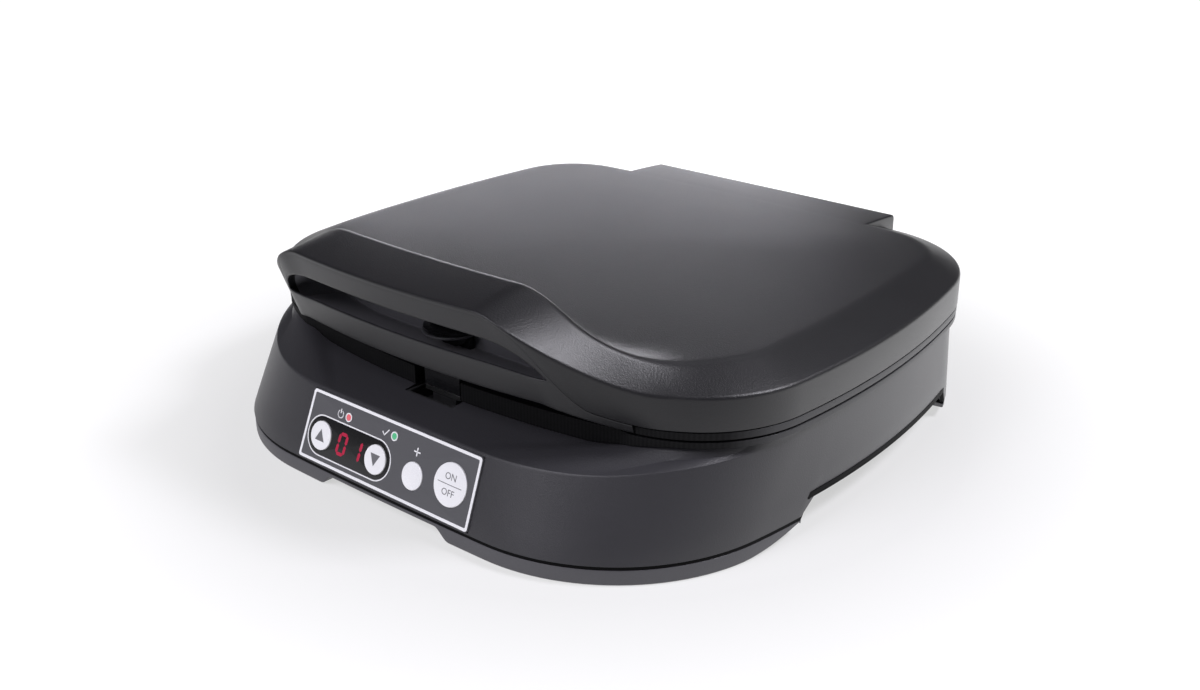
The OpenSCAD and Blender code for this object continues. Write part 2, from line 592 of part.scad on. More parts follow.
module handle_front() color([0.3, 0.3, 0.31]) {
  difference() {
    union() {
      difference() {
        handle_face();
        slot_cut();
      }
      pocket();
      both() box([latch_w / 2 + 4, y_latch - 5, z_latch - 5], [latch_w / 2 + 7.5, y_pocket - 1, z_latch + 5]);
    }
    rod_x(0, y_latch, z_latch, latch_pin_d / 2, 60);
    box([-latch_w / 2 - 1.5, y_latch - 4.5, z_chin - 5], [latch_w / 2 + 1.5, y_latch + 4.5, z_chin + 3.5]);
  }
}

// ---- lid inside ----
module at_liner() {
  for (x = [-1, 1], y = [y_plate - 50, y_plate + 46]) translate([x * (plate_w / 2 + 4.4), y, 0]) children();
}
// room behind the ends of the chin, where it reaches down to the lid's split
module front_gap(z, h) {
  difference() {
    box([-118, y_lid - 20, z], [118, y_lid + 30, z + h]);
    slab(lid_ring(wall + 0.5), z - 1, h + 2);
  }
}
module lid_liner() color([0.2, 0.2, 0.21]) {
  y_b = y_plate_1 + 2.6;
  difference() {
    union() {
      slab_ring(lid_ring(skin + 0.8), plate_ring(-1.4), z_lid, 2.6);
      slab_ring(lid_ring(skin + 1.2), lid_ring(skin + 3.4), z_lid + 2, 8);
      box([-tail_w - 1, y_b, z_lid], [tail_w + 1, y_b + 4, z_lid + 14]);
    }
    box([-slot_w - 4, y_lid - 20, z_lid - 5], [slot_w + 4, y_pocket + 2.9, z_lid + 30]);
    front_gap(z_lid - 5, 30);
    box([-tail_w - 2, y_b + 4, z_lid - 5], [tail_w + 2, y_rear + 20, z_lid + 30]);
    both() for (x = arm_holes)
      translate([x, y_b - 2, z_axis + 1]) rotate([-90, 0, 0]) cylinder(r = 1.6, h = 9);
    at_liner() translate([0, 0, z_lid - 1]) cylinder(r = 1.3, h = 6);
  }
}
module liner_screws() color([0.5, 0.5, 0.52]) {
  at_liner() translate([0, 0, z_lid]) {
    translate([0, 0, 0.1]) cylinder(r = 1.2, h = 4);
    translate([0, 0, 2.7]) cylinder(r = 2, h = 1.8);
  }
}
module upper_frame() color([0.24, 0.24, 0.25]) {
  difference() {
    slab_ring(lid_ring(0, y_axis - 1), plate_ring(-0.6), z_up_bot, top_frame_h);
    front_gap(z_up_bot - 1, top_frame_h + 2);
    latch_gate(30, 80);
    box([-tail_w - 2, y_plate_1 + 7.6, 30], [tail_w + 2, y_rear + 20, 80]);
  }
}
module upper_fuse() color([0.8, 0.8, 0.82]) {
  rod_x(30, y_plate - 20, z_plate_over + 12.3, 2.2, 16);
}

// ---- controls, in the panel's own frame ----
u_start = panel_w / 2 - 15.6;
u_up = -panel_w / 2 + 11.7;
u_down = u_up + 39.6;
pill_r = arrow_r + 2.1;
pill_end = u_down + pill_r;
u_more = pill_end + (u_start - start_r - pill_end) * 0.532;
led_at = [[u_up + 16.2, 10.2], [u_down + 9.1, 10.6]];
v_row = -3.7;
module pill(r, z0, z1) {
  translate([0, 0, z0]) linear_extrude(height = z1 - z0) union() {
    translate([u_up, v_row]) circle(r = r);
    translate([u_down, v_row]) circle(r = r);
    translate([u_up, v_row - r]) square([u_down - u_up, 2 * r]);
  }
}
module disc(u, v, r, z0, z1) {
  translate([u, v, z0]) cylinder(r = r, h = z1 - z0);
}
module control_fascia() color([0.45, 0.45, 0.47]) {
  on_panel() difference() {
    box([-panel_w / 2, -panel_h / 2, -1.7], [panel_w / 2, panel_h / 2, 0.3]);
    pill(pill_r + 0.1, -3, 2);
    disc(u_start, 0, start_r + button_gap, -3, 2);
    disc(u_more, v_row, more_r + button_gap, -3, 2);
    disc(led_at[0][0], led_at[0][1], 2.3, -3, 2);
    disc(led_at[1][0], led_at[1][1], 2.3, -3, 2);
  }
}
module display_window() color([0.13, 0.14, 0.14]) {
  on_panel() difference() {
    pill(pill_r, -1.7, 0.4);
    disc(u_up, v_row, arrow_r + button_gap, -3, 2);
    disc(u_down, v_row, arrow_r + button_gap, -3, 2);
  }
}
module digit_display() color([0.5, 0.06, 0.08]) {
  on_panel()
    box([(u_up + u_down) / 2 - 10.1, v_row - 8, -6.5], [(u_up + u_down) / 2 + 10.1, v_row + 8, -1.9]);
}
module power_lens() color([0.9, 0.3, 0.3]) {
  on_panel() disc(led_at[0][0], led_at[0][1], 2.2, -3.6, 0.5);
}
module ready_lens() color([0.3, 0.8, 0.5]) {
  on_panel() disc(led_at[1][0], led_at[1][1], 2.2, -3.6, 0.5);
}
module control_board() color([0.1, 0.35, 0.2]) {
  on_panel()
    box([-panel_w / 2 + 4, -panel_h / 2 + 4.6, -6.6 - pcb_t], [panel_w / 2 - 4, panel_h / 2 - 4.6, -6.6]);
}
module tact_switches() color([0.2, 0.2, 0.2]) {
  on_panel() for (p = [[u_start, 0], [u_up, v_row], [u_down, v_row], [u_more, v_row]]) {
    translate([p[0] - 3, p[1] - 3, -6.55]) cube([6, 6, 1.4]);
    disc(p[0], p[1], 1.7, -5.5, -3.4 - press);
  }
}
module button(u, v, r) {
  on_panel() {
    disc(u, v, r, -3.2, proud);
    disc(u, v, r + 0.8, -3.2, -2.3);
  }
}
module start_button() color([0.85, 0.85, 0.86]) {
  button(u_start, 0, start_r);
}
module up_button() color([0.85, 0.85, 0.86]) {
  button(u_up, v_row, arrow_r);
}
module down_button() color([0.85, 0.85, 0.86]) {
  button(u_down, v_row, arrow_r);
}
module more_button() color([0.85, 0.85, 0.86]) {
  button(u_more, v_row, more_r);
}

// ---- electrics in the base ----
z_board = y_floor_z + 6.1;
module power_board() color([0.5, 0.4, 0.2]) {
  box([-110, -100, z_board], [-10, -30, z_board + pcb_t]);
}
module relay() color([0.2, 0.3, 0.6]) {
  box([-104, -92, z_board + pcb_t], [-84, -76, z_board + pcb_t + 10.5]);
}
module transformer() color([0.75, 0.65, 0.2]) {
  box([-60, -80, z_board + pcb_t], [-32, -54, z_board + pcb_t + 10.5]);
}
module terminal_block() color([0.9, 0.9, 0.88]) {
  box([gland_x - 16, y_rear - 56, y_floor_z + floor_t],
    [gland_x + 18, y_rear - 42, y_floor_z + floor_t + 12]);
}
module thermostat() color([0.75, 0.75, 0.76]) {
  translate([0, y_plate, z_pan + 1.4]) cylinder(r = 9, h = z_plate_under - z_pan - 1.4);
}
module thermal_fuse() color([0.8, 0.8, 0.82]) {
  rod_x(40, y_plate + 5, z_pan - 2.6, 2.2, 16);
}
module sensor_leads() color([0.75, 0.2, 0.15]) {
  sweep([[-30, -60, z_board + 8], [-24, -50, z_board + 10.5], [0, -30, z_board + 10.5],
    [20, 0, z_board + 10.5],
    [28, y_plate + 4, z_board + 11.2], [31.6, y_plate + 5, z_pan - 2.6]], wire_d / 2);
}
module supply_leads() color([0.2, 0.2, 0.75]) {
  for (d = [-7, 7]) sweep([[gland_x + d * 0.35, y_rear - 14, gland_z],
    [gland_x + d * 0.6, y_rear - 24, gland_z - 1],
    [gland_x + d, y_rear - 33, y_floor_z + floor_t + 8],
    [gland_x + d, y_rear - 41.9, y_floor_z + floor_t + 7]], wire_d / 2);
}
module cord_gland() color([0.1, 0.1, 0.1]) {
  difference() {
    translate([gland_x, y_gland, gland_z]) rotate([-90, 0, 0]) union() {
      translate([0, 0, -wall - 3.2]) cylinder(r = gland_r + 5.5, h = 3);
      translate([0, 0, -wall - 3.2]) cylinder(r = gland_r + 2.6, h = 10);
      translate([0, 0, 0.2]) cylinder(r = gland_r + 4.6, h = 2.5);
      translate([0, 0, 2]) cylinder(r1 = gland_r + 3.4, r2 = gland_r + 2, h = 8);
    }
    translate([gland_x, y_gland - 20, gland_z]) rotate([-90, 0, 0]) cylinder(r = gland_r, h = 50);
  }
}

base_shell();
bottom_cover();
rubber_feet();
cover_screws();
lower_frame();
lower_plate();
lower_element();
lower_reflector();
plate_insulators();
hinge_block();
hinge_bushes();
latch_magnet();
magnet_housing();
control_fascia();
display_window();
digit_display();
power_lens();
ready_lens();
control_board();
tact_switches();
power_board();
relay();
transformer();
terminal_block();
thermostat();
thermal_fuse();
sensor_leads();
supply_leads();
cord_gland();
lid_shell();
handle_front();
lid_liner();
upper_frame();
upper_plate();
upper_element();
upper_reflector();
upper_fuse();
hinge_arms();
hinge_pins();
arm_screws();
liner_screws();
latch_pin();
latch_spring();
latch_lever();
latch_armature();
start_button();
up_button();
down_button();
more_button();
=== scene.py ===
# %% [markdown]
# # A contact grill with a raised front handle
# The grill is a set of solids with hinges and sliding buttons. Here every part you can see gets a finer
# surface, soft edges and a finish. The main positions are read from the frame, so the dress fits.
# %% Load the frame
import bpy, bmesh, json, math
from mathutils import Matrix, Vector


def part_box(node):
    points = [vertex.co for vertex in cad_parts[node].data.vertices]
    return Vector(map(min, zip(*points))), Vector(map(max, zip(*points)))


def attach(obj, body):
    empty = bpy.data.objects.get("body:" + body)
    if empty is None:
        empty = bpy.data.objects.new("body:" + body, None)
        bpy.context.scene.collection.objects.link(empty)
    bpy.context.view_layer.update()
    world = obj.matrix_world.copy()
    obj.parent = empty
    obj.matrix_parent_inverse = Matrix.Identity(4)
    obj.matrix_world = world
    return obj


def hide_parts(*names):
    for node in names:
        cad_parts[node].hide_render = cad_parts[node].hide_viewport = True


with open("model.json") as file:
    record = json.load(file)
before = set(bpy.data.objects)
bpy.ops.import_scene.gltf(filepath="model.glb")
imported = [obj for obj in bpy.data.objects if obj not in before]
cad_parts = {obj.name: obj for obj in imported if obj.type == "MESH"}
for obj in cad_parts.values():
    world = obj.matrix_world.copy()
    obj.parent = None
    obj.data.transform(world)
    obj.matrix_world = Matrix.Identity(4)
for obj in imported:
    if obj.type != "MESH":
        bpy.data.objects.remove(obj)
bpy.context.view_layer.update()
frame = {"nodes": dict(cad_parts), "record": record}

# %% [markdown]
# ## Sizes
# The frame is in metres and the shapes are in millimetres, so a mesh shrinks by a thousand when it is made.
# `side` reads one face of a solid's box, and the sizes follow from those faces.
# %% Read the main sizes
MM = 0.001


def side(node, way):
    low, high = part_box(node)
    return {"left": low[0], "right": high[0], "front": low[1], "back": high[1],
            "bottom": low[2], "top": high[2]}[way] / MM


def middle(node, low="left", high="right"):
    return (side(node, low) + side(node, high)) / 2


half_width = side("base_shell", "right")
front, back = side("base_shell", "front"), side("base_shell", "back")
skirt_z, rim_z = side("base_shell", "bottom"), side("base_shell", "top")
band_top = side("lower_frame", "top")
split_z = side("upper_frame", "bottom")
seam_gap = 0.3
lid_z = side("upper_frame", "top") + seam_gap
lid_half = side("upper_frame", "right")
tail_y = side("lid_shell", "back")
print("half width", round(half_width, 2), "front", round(front, 2), "back", round(back, 2))

# %% Sizes that follow
deck_z, lean_in, flare = skirt_z + 35.5, 13.4, 2.4
deck_y = front + lean_in
lean = math.atan2(lean_in, deck_z - skirt_z)
lid_front, lid_back = front + 38, back + 2.3
rim_top = lid_z + 16.35
crease_z, lid_dome, lid_mid = rim_top + 9.05, 3, 12
bevel, wall, skin = 22.4, 3.0, 2.6
handle_rise, chin_reach, chin_rise = 36.1, 16, 12.1
tail_half, hinge_half = 85.5, 87.5
slot_half, slot_tall = 86.3, 13.9
chin_z = split_z + chin_rise
slot_z = chin_z + 16.6
pocket_back = lid_front - chin_reach + 35.7
latch_y, latch_z = pocket_back - 7, slot_z - 0.2
print("lid from", round(lid_front, 2), "to", round(lid_back, 2))

# %% [markdown]
# ## Plan outlines
# Seen from above, the base, the lid and the lid's crease are the same kind of outline: a very slow arc for
# each side, joined at each corner by a tighter one without a kink.
# %% Arcs that touch


def ease(t):
    c = min(1.0, max(0.0, t))
    return c * c * (3 - 2 * c)


def swell(x, near, far):
    """1 inside near, 0 outside far, and a soft slope between."""
    return ease((far - abs(x)) / (far - near))


def corner_centre(cf, cs, r1, r2):
    """The point that is r1 from cf and r2 from cs, on the outer side."""
    d = math.hypot(cs[0] - cf[0], cs[1] - cf[1])
    ex, ey = (cs[0] - cf[0]) / d, (cs[1] - cf[1]) / d
    t = (d * d + r1 * r1 - r2 * r2) / (2 * d)
    h = math.sqrt(max(0.0, r1 * r1 - t * t))
    a = (cf[0] + t * ex - ey * h, cf[1] + t * ey + ex * h)
    b = (cf[0] + t * ex + ey * h, cf[1] + t * ey - ex * h)
    return a if a[0] - a[1] > b[0] - b[1] else b


def arc(c, r, a0, a1, n):
    """n points of an arc, without its last."""
    steps = [a0 + (a1 - a0) * i / n for i in range(n)]
    return [(c[0] + r * math.cos(a), c[1] + r * math.sin(a)) for a in steps]


def corner(a, ys, rs, rc, rf, yf):
    """Centres of the three arcs at a front corner, and the angles at which they touch."""
    cf, cs = (0.0, yf + rf), (a - rs, ys)
    c = corner_centre(cf, cs, rf - rc, rs - rc)
    return cf, cs, c, math.atan2(c[1] - cf[1], c[0] - cf[0]), math.atan2(c[1] - cs[1], c[0] - cs[0])


# %% Whole outlines
FINE = (64, 26, 56, 20, 30)  # points of the front, its corner, the side, the rear corner and the rear
side_y, side_r, nose_r, flat_r = 2.65, 491.93, 519.4, 3000
base_turn, turn_gain, lid_turn, rear_turn = 95.2, 14.6, 64.4, 72.6
crease_y, crease_side_r, crease_nose_r, crease_rear_r, crease_turn = -3.35, 853.0, 922.5, 2000, 42.4


def outline(a, ys, rs, rc, rf, yf, rcr, rr, yr):
    """a is the half width. The side is widest at ys with radius rs, the front (at yf) has radius rf and its
    corners rc, the back (at yr) has radius rr and its corners rcr."""
    nf, nc, ns, nr, nb = FINE
    f = corner(a, ys, rs, rc, rf, yf)
    b = corner(a, -ys, rs, rcr, rr, -yr)
    right = (arc(f[0], rf, -math.pi / 2, f[3], nf) + arc(f[2], rc, f[3], f[4], nc)
             + arc(f[1], rs, f[4], -b[4], ns) + arc((b[2][0], -b[2][1]), rcr, -b[4], -b[3], nr)
             + arc((0, -b[0][1]), rr, -b[3], math.pi / 2, nb) + [(0.0, yr)])
    return right + [(-x, y) for x, y in right[-2:0:-1]]


def base_line(w, k=0.0):
    """Outline of the base: w is 0 at its lower edge and 1 at the deck, k goes inwards."""
    return outline(half_width - flare * w - k, side_y, side_r - k, base_turn + turn_gain * w - k, flat_r,
                   front + lean_in * w + k, rear_turn - k, flat_r, back - k)


def lid_line(k=0.0):
    return outline(lid_half - k, side_y, side_r - k, lid_turn - k, nose_r - k, lid_front + k,
                   rear_turn - k, flat_r, lid_back - k)


def crease_line(k=0.0):
    return outline(lid_half - bevel - k, crease_y, crease_side_r - k, crease_turn - k, crease_nose_r - k,
                   lid_front + bevel + 3.66 + k, 38.0 - k, crease_rear_r, lid_back - bevel - 3.4 - k)


print("points in an outline:", len(lid_line()))

# %% [markdown]
# ## From outlines to surfaces
# A loft joins rows of points with quads: a shell is a stack of rows from its middle, over its edges, and
# back inside. Where two faces meet, `soft` puts a short curve in place of the sharp point.
# %% Loft and soft edges


def bend(start, corner_at, end, n=5):
    """A short curve from start to end that heads for corner_at first."""
    s, c, e = Vector(start), Vector(corner_at), Vector(end)
    return [tuple(s * (1 - t) ** 2 + c * 2 * t * (1 - t) + e * t * t) for t in [i / n for i in range(n + 1)]]


def soft(a, b, c, size, n=5):
    """Points of a rounded corner at b, on the way from a to c."""
    a, b, c = Vector(a), Vector(b), Vector(c)
    s, e = (b + (v - b) * min(0.45, size / max(1e-6, (v - b).length)) for v in (a, c))
    return bend(s, b, e, n)


def put(name, data):
    """Sets a new mesh, light or camera into the scene."""
    thing = bpy.data.objects.new(name, data)
    bpy.context.scene.collection.objects.link(thing)
    return thing


def smooth(piece, sharp=40):
    """Even shading, broken where faces meet at more than sharp degrees."""
    piece.data.shade_smooth()
    piece.data.set_sharp_from_angle(angle=math.radians(sharp))
    return piece


def make(name, points, faces, sharp=40):
    mesh = bpy.data.meshes.new(name)
    mesh.from_pydata([(x * MM, y * MM, z * MM) for x, y, z in points], [], faces)
    mesh.validate()
    return smooth(put(name, mesh), sharp)


def loft(name, rows, closed=False, round_row=True, caps=(False, False), sharp=40):
    """Rows of points to a skin. closed joins the last row to the first; caps close the end rows."""
    n, m = len(rows[0]), len(rows)
    points = [p for row in rows for p in row]
    faces = []
    for j in range(m if closed else m - 1):
        for i in range(n if round_row else n - 1):
            k, i2, j2 = j * n, (i + 1) % n, ((j + 1) % m) * n
            faces.append((k + i, k + i2, j2 + i2, j2 + i))
    for end, row, order in ((0, 0, 1), (1, m - 1, -1)):
        if caps[end]:
            c = sum((Vector(p) for p in rows[row]), Vector()) / n
            points.append(tuple(c))
            for i in range(n):
                tri = (row * n + i, len(points) - 1, row * n + (i + 1) % n)
                faces.append(tri[::order])
    return make(name, points, faces, sharp)


def columns(profiles):
    """Turns one profile per outline point into rows for loft."""
    return [[p[j] for p in profiles] for j in range(len(profiles[0]))]


def face_outwards(piece, *others):
    """Turns every face outwards; others are joined on where their border points meet."""
    whole = bmesh.new()
    for part in (piece,) + others:
        whole.from_mesh(part.data)
    for part in others:
        bpy.data.objects.remove(part)
    if others:
        bmesh.ops.remove_doubles(whole, verts=whole.verts, dist=0.02 * MM)
    bmesh.ops.recalc_face_normals(whole, faces=whole.faces)
    whole.to_mesh(piece.data)
    whole.free()
    return piece


def stitch(piece, *others):
    return smooth(face_outwards(piece, *others))


# %% [markdown]
# ## Cutting and placing
# Recesses and holes are cut with a boolean and written back into the mesh. `place` gives a piece its
# finish, hangs it on the moving part that carries it, and hides the plain solids it stands for.
# %% Cut and place


def final_mesh(thing):
    return bpy.data.meshes.new_from_object(thing.evaluated_get(bpy.context.evaluated_depsgraph_get()))


def carve(piece, *cutters, sharp=40):
    face_outwards(piece)
    for cutter in cutters:
        step = piece.modifiers.new("cut", "BOOLEAN")
        step.operation, step.object, step.solver = "DIFFERENCE", face_outwards(cutter), "EXACT"
        shape = final_mesh(piece)
        piece.modifiers.clear()
        piece.data = shape
        bpy.data.objects.remove(cutter)
    return smooth(piece, sharp)


def block(low, high):
    x, y, z = zip(low, high)
    points = [(x[i], y[j], z[k]) for k in (0, 1) for j in (0, 1) for i in (0, 1)]
    return make("cutter", points, [(0, 2, 3, 1), (4, 5, 7, 6), (0, 1, 5, 4), (1, 3, 7, 5), (3, 2, 6, 7),
                                   (2, 0, 4, 6)])


def prism(shape, x0, x1):
    """A (y, z) shape drawn along X."""
    n = len(shape)
    points = [(x, y, z) for x in (x0, x1) for y, z in shape]
    faces = [(i, (i + 1) % n, n + (i + 1) % n, n + i) for i in range(n)]
    return make("cutter", points, faces + [tuple(range(n))[::-1], tuple(range(n, 2 * n))])


slots = [entry["slot"] for entry in frame["record"]["materials"]]


def place(piece, finish, body, *stands_for):
    piece.data.materials.clear()
    piece.data.materials.append(finishes[finish])
    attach(piece, body)
    finish in slots
    if stands_for:
        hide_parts(*stands_for)
    print(piece.name, "faces:", len(piece.data.polygons))
    return piece


# %% [markdown]
# ## Writing finishes as sums
# A finish is a web of small nodes. `Wire` lets us write `1 - grain * 0.2` and adds the nodes for us. `Net`
# grows a web, and `Finish` is the web of one material. The depth of a bump is in millimetres.
# %% Wire, Net and Finish


class Wire:
    def __init__(self, net, socket):
        self.net, self.socket = net, socket

    def math(self, operation, a, b):
        return self.net.node("Math", {0: a, 1: b}, operation=operation)

    def __add__(self, other): return self.math("ADD", self, other)
    def __radd__(self, other): return self.math("ADD", other, self)
    def __sub__(self, other): return self.math("SUBTRACT", self, other)
    def __rsub__(self, other): return self.math("SUBTRACT", other, self)
    def __mul__(self, other): return self.math("MULTIPLY", self, other)


class Net:
    def __init__(self, tree):
        self.tree = tree

    def node(self, kind, sockets, out=0, **settings):
        new_node = self.tree.nodes.new("ShaderNode" + kind)
        for key, value in settings.items():
            setattr(new_node, key, value)
        for key, value in sockets.items():
            self.plug(new_node.inputs[key], value)
        return Wire(self, new_node.outputs[out])

    def plug(self, socket, value):
        if isinstance(value, Wire):
            self.tree.links.new(value.socket, socket)
        else:
            socket.default_value = value


class Finish(Net):
    def __init__(self, name):
        finishes[name] = bpy.data.materials.new(name)
        finishes[name].use_nodes = True
        super().__init__(finishes[name].node_tree)
        self.shader = self.tree.nodes["Principled BSDF"]
        self.place = self.node("TexCoord", {}, "Object")

    def set(self, **values):
        for key, value in values.items():
            self.plug(self.shader.inputs[key.replace("_", " ")], value)

    def noise(self, scale, detail=2.0, rough=0.5):
        return self.node("TexNoise", {"Vector": self.place, "Scale": scale, "Detail": detail,
                                      "Roughness": rough}, "Fac")

    def blend(self, mask, one, two):
        return self.node("Mix", {"Factor": mask, 6: (*one, 1), 7: (*two, 1)}, 2, data_type="RGBA")

    def ramp(self, value, low, high):
        return self.node("MapRange", {"Value": value, "From Min": low, "From Max": high}, "Result", clamp=True)

    def bump(self, height, depth):
        self.set(Normal=self.node("Bump", {"Height": height, "Distance": depth * MM, "Strength": 1.0}, "Normal"))


def toned(colour, factor):
    return tuple(min(1.0, c * factor) for c in colour)


finishes = {}

# %% [markdown]
# ## Moulded plastic
# The housing is charcoal plastic with a fine etched grain that breaks up the shine. A fine noise drives
# the bump, and with a broad one it moves the roughness and the colour a little. Some copies are painted
# lighter or near black to stand in for light and shade.
# %% Moulded finishes


def moulded(name, colour, roughness, grain, depth, spread=0.05, coat=0.0, specular=0.5):
    f = Finish(name)
    fine, broad = f.noise(grain, 3.0, 0.6), f.noise(26, 2.0)
    f.set(Base_Color=f.blend(broad * 0.6 + fine * 0.4, toned(colour, 0.9), toned(colour, 1.1)),
          Roughness=roughness + (fine - 0.5) * spread + (broad - 0.5) * 0.04,
          Specular_IOR_Level=specular, Coat_Weight=coat, Coat_Roughness=0.08)
    f.bump(fine, depth)
    return f


moulded("charcoal_shell", (0.0092, 0.009, 0.0106), 0.4, 1300, 0.1)
# The base is the lid's charcoal plastic painted about three times lighter: painted light on its wall and deck.
moulded("base_shell_finish", (0.0285, 0.028, 0.032), 0.43, 1300, 0.1)
moulded("cover_plastic", (0.066, 0.065, 0.072), 0.5, 1100, 0.08)
# Near black, for rings and strips set into gaps: painted shade where the gaps are only in shadow.
moulded("dark_gap", (0.002, 0.002, 0.0024), 0.7, 1100, 0.04, specular=0.1)
# The pocket's inside is the same charcoal plastic painted much lighter: painted light for the light that reaches
# into it.
moulded("pocket_plastic", (0.155, 0.153, 0.168), 0.5, 1100, 0.08)
moulded("frame_plastic", (0.02, 0.02, 0.021), 0.42, 1500, 0.05)
# Painted light and shade: the bands are lighter grey at the sides and near black in front, as shade under the lip.
# The wave adds faint rib stripes there.
band = moulded("band_plastic", (0.014, 0.014, 0.015), 0.42, 1500, 0.05)
along = band.node("SeparateXYZ", {"Vector": band.place}, 1)
ribs = band.node("TexWave", {"Vector": band.place, "Scale": 170.0, "Distortion": 0.0}, "Fac")
front_shade_mask = band.ramp(along, -0.072, -0.092)
band.set(Base_Color=band.blend(front_shade_mask * (ribs * 0.1 + 0.9), (0.04, 0.04, 0.043), (0.0012, 0.0012, 0.0015)),
         Roughness=front_shade_mask * 0.35 + 0.42, Specular_IOR_Level=0.22)
moulded("latch_plastic", (0.008, 0.008, 0.009), 0.22, 1800, 0.02, coat=0.3)
moulded("panel", (0.075, 0.075, 0.082), 0.42, 2200, 0.03)
moulded("button", (0.77, 0.77, 0.79), 0.27, 2600, 0.01, 0.03, coat=0.4)
moulded("component", (0.03, 0.03, 0.035), 0.55, 900, 0.06)
moulded("foot_rubber", (0.018, 0.018, 0.018), 0.8, 700, 0.12)
moulded("wire", (0.42, 0.04, 0.03), 0.5, 900, 0.04)
moulded("ceramic", (0.72, 0.69, 0.62), 0.35, 500, 0.04)
print(len(finishes), "moulded finishes")

# %% [markdown]
# ## Metals, coating and boards
# Metals have their detail in the roughness: drawn lines for pins and arms, cast speckle for the magnet.
# The plates carry a dark non-stick coat with a speckle, and the circuit boards show tracks.
# %% Metals


def metal(name, colour, roughness, stretch=(1, 1, 1), scale=600, depth=0.02):
    f = Finish(name)
    drawn = f.node("VectorMath", {0: f.place, 1: stretch}, "Vector", operation="MULTIPLY")
    lines = f.node("TexNoise", {"Vector": drawn, "Scale": scale, "Detail": 4.0}, "Fac")
    f.set(Base_Color=f.blend(lines, toned(colour, 0.85), colour),
          Roughness=roughness + (lines - 0.5) * 0.3, Metallic=1.0)
    f.bump(lines, depth)


metal("steel", (0.58, 0.58, 0.6), 0.32, (0.08, 1, 1))
metal("reflector", (0.72, 0.72, 0.74), 0.2, (1, 0.1, 1), 300)
metal("bronze", (0.62, 0.44, 0.24), 0.42, (1, 1, 1), 1500, 0.04)
metal("magnet", (0.3, 0.3, 0.32), 0.5, (1, 1, 1), 900, 0.06)

# %% Coating and boards
coat = Finish("nonstick")
speck = coat.ramp(coat.noise(900, 3.0, 0.7), 0.55, 0.72)
coat.set(Base_Color=coat.blend(speck, (0.014, 0.014, 0.015), (0.055, 0.055, 0.058)),
         Roughness=0.42 + speck * 0.15)
coat.bump(coat.noise(450, 2.0), 0.06)

board = Finish("board")
tracks = board.node("TexBrick", {"Vector": board.place, "Scale": 90.0, "Mortar Size": 0.06}, "Fac", offset=0.5)
board.set(Base_Color=board.blend(tracks, (0.01, 0.075, 0.03), (0.02, 0.13, 0.05)), Roughness=0.3)
board.bump(tracks, 0.03)

# %% [markdown]
# ## The small bright things
# A dark window, digits that glow a little, two coloured lenses, and white or grey ink for lines and signs.
# %% Window, digits, lamps and ink


def glossy(name, colour, roughness, glow=0.0, coat=0.0):
    f = Finish(name)
    dust = f.noise(2400, 3.0, 0.6)
    f.set(Base_Color=f.blend(dust, toned(colour, 0.92), colour), Roughness=roughness + (dust - 0.5) * 0.06,
          Coat_Weight=coat, Coat_Roughness=0.04)
    if glow:
        f.set(Emission_Color=f.blend(dust, toned(colour, 0.9), colour), Emission_Strength=glow)


glossy("window", (0.008, 0.008, 0.009), 0.24)
glossy("digits", (0.3, 0.002, 0.03), 0.5, 0.42)
glossy("lens_red", (0.62, 0.12, 0.14), 0.25, 0.25, 0.5)
glossy("lens_green", (0.08, 0.42, 0.2), 0.25, 0.2, 0.5)
glossy("white_ink", (0.78, 0.78, 0.8), 0.5)
glossy("grey_ink", (0.13, 0.13, 0.14), 0.5)
print(len(finishes), "finishes")

# %% [markdown]
# ## Dress the solids that stay
# Screws, pins, boards and elements are right as solids. They get their finish by the record's list, and
# some get a small bevel.
# %% Finish every solid by its slot
worn_edge = dict(
    hinge_block=1.0, hinge_arms=0.5, magnet_housing=0.5, lower_plate=0.5, upper_plate=0.5, lid_liner=0.3, relay=0.4,
    transformer=0.5, terminal_block=0.5, rubber_feet=0.7, cover_screws=0.25, thermostat=0.3, latch_armature=0.2,
    control_board=0.2, power_board=0.2)
subparts = frame["record"]["subparts"]
for entry in subparts:
    name, node = entry["node"], frame["nodes"][entry["node"]]
    node.data.materials.clear()
    node.data.materials.append(finishes[entry["material_slot"]])
    if name in worn_edge:
        weld = node.modifiers.new("weld", "WELD")
        weld.merge_threshold = 0.005 * MM
        edge = node.modifiers.new("edge", "BEVEL")
        edge.width, edge.segments = worn_edge[name] * MM, 2
        edge.limit_method, edge.angle_limit = "ANGLE", math.radians(50)
print(len(subparts), "solids finished")

# %% [markdown]
# ## The front of the lid
# The lid swells forward and up in the middle, which makes the handle. Three lines carry the shape: the
# edge under the finger slot (the chin), the top front edge, and the crease behind it.
# %% Lines of the handle


def lifted(p, z, reach, reach_near, reach_far, rise, rise_near, rise_far):
    return (p[0], p[1] - reach * swell(p[0], reach_near, reach_far), z + rise * swell(p[0], rise_near, rise_far))


def top_edge(p):
    return lifted(p, rim_top, 33.4, 70.2, 135.2, handle_rise, 58, 126.8)


def chin_edge(p):
    return lifted(p, split_z, chin_reach, 81.3, 117.3, chin_rise, 76.9, 117.2)


def crease_edge(p):
    return lifted(p, crease_z, 26.5, 85.4, 141.4, 31.2, 57, 129) if p[1] < 0 else (*p, crease_z)


def mix(a, b, t):
    return tuple(u + (v - u) * t for u, v in zip(a, b))


low_seam, high_seam, SEAM_STEP = (lid_z - split_z) / (rim_top - split_z), 0.955, (72, 96)


def seam_at(x):
    """Where the lid's skin meets the handle front, from 0 at the chin to 1 at the top edge."""
    return low_seam + (high_seam - low_seam) * swell(x, 76, 100.5)


def on_wall(p, t):
    if p[1] < 0:
        return mix(chin_edge(p), top_edge(p), t)
    return (p[0], p[1], lid_z + (rim_top - lid_z) * t)


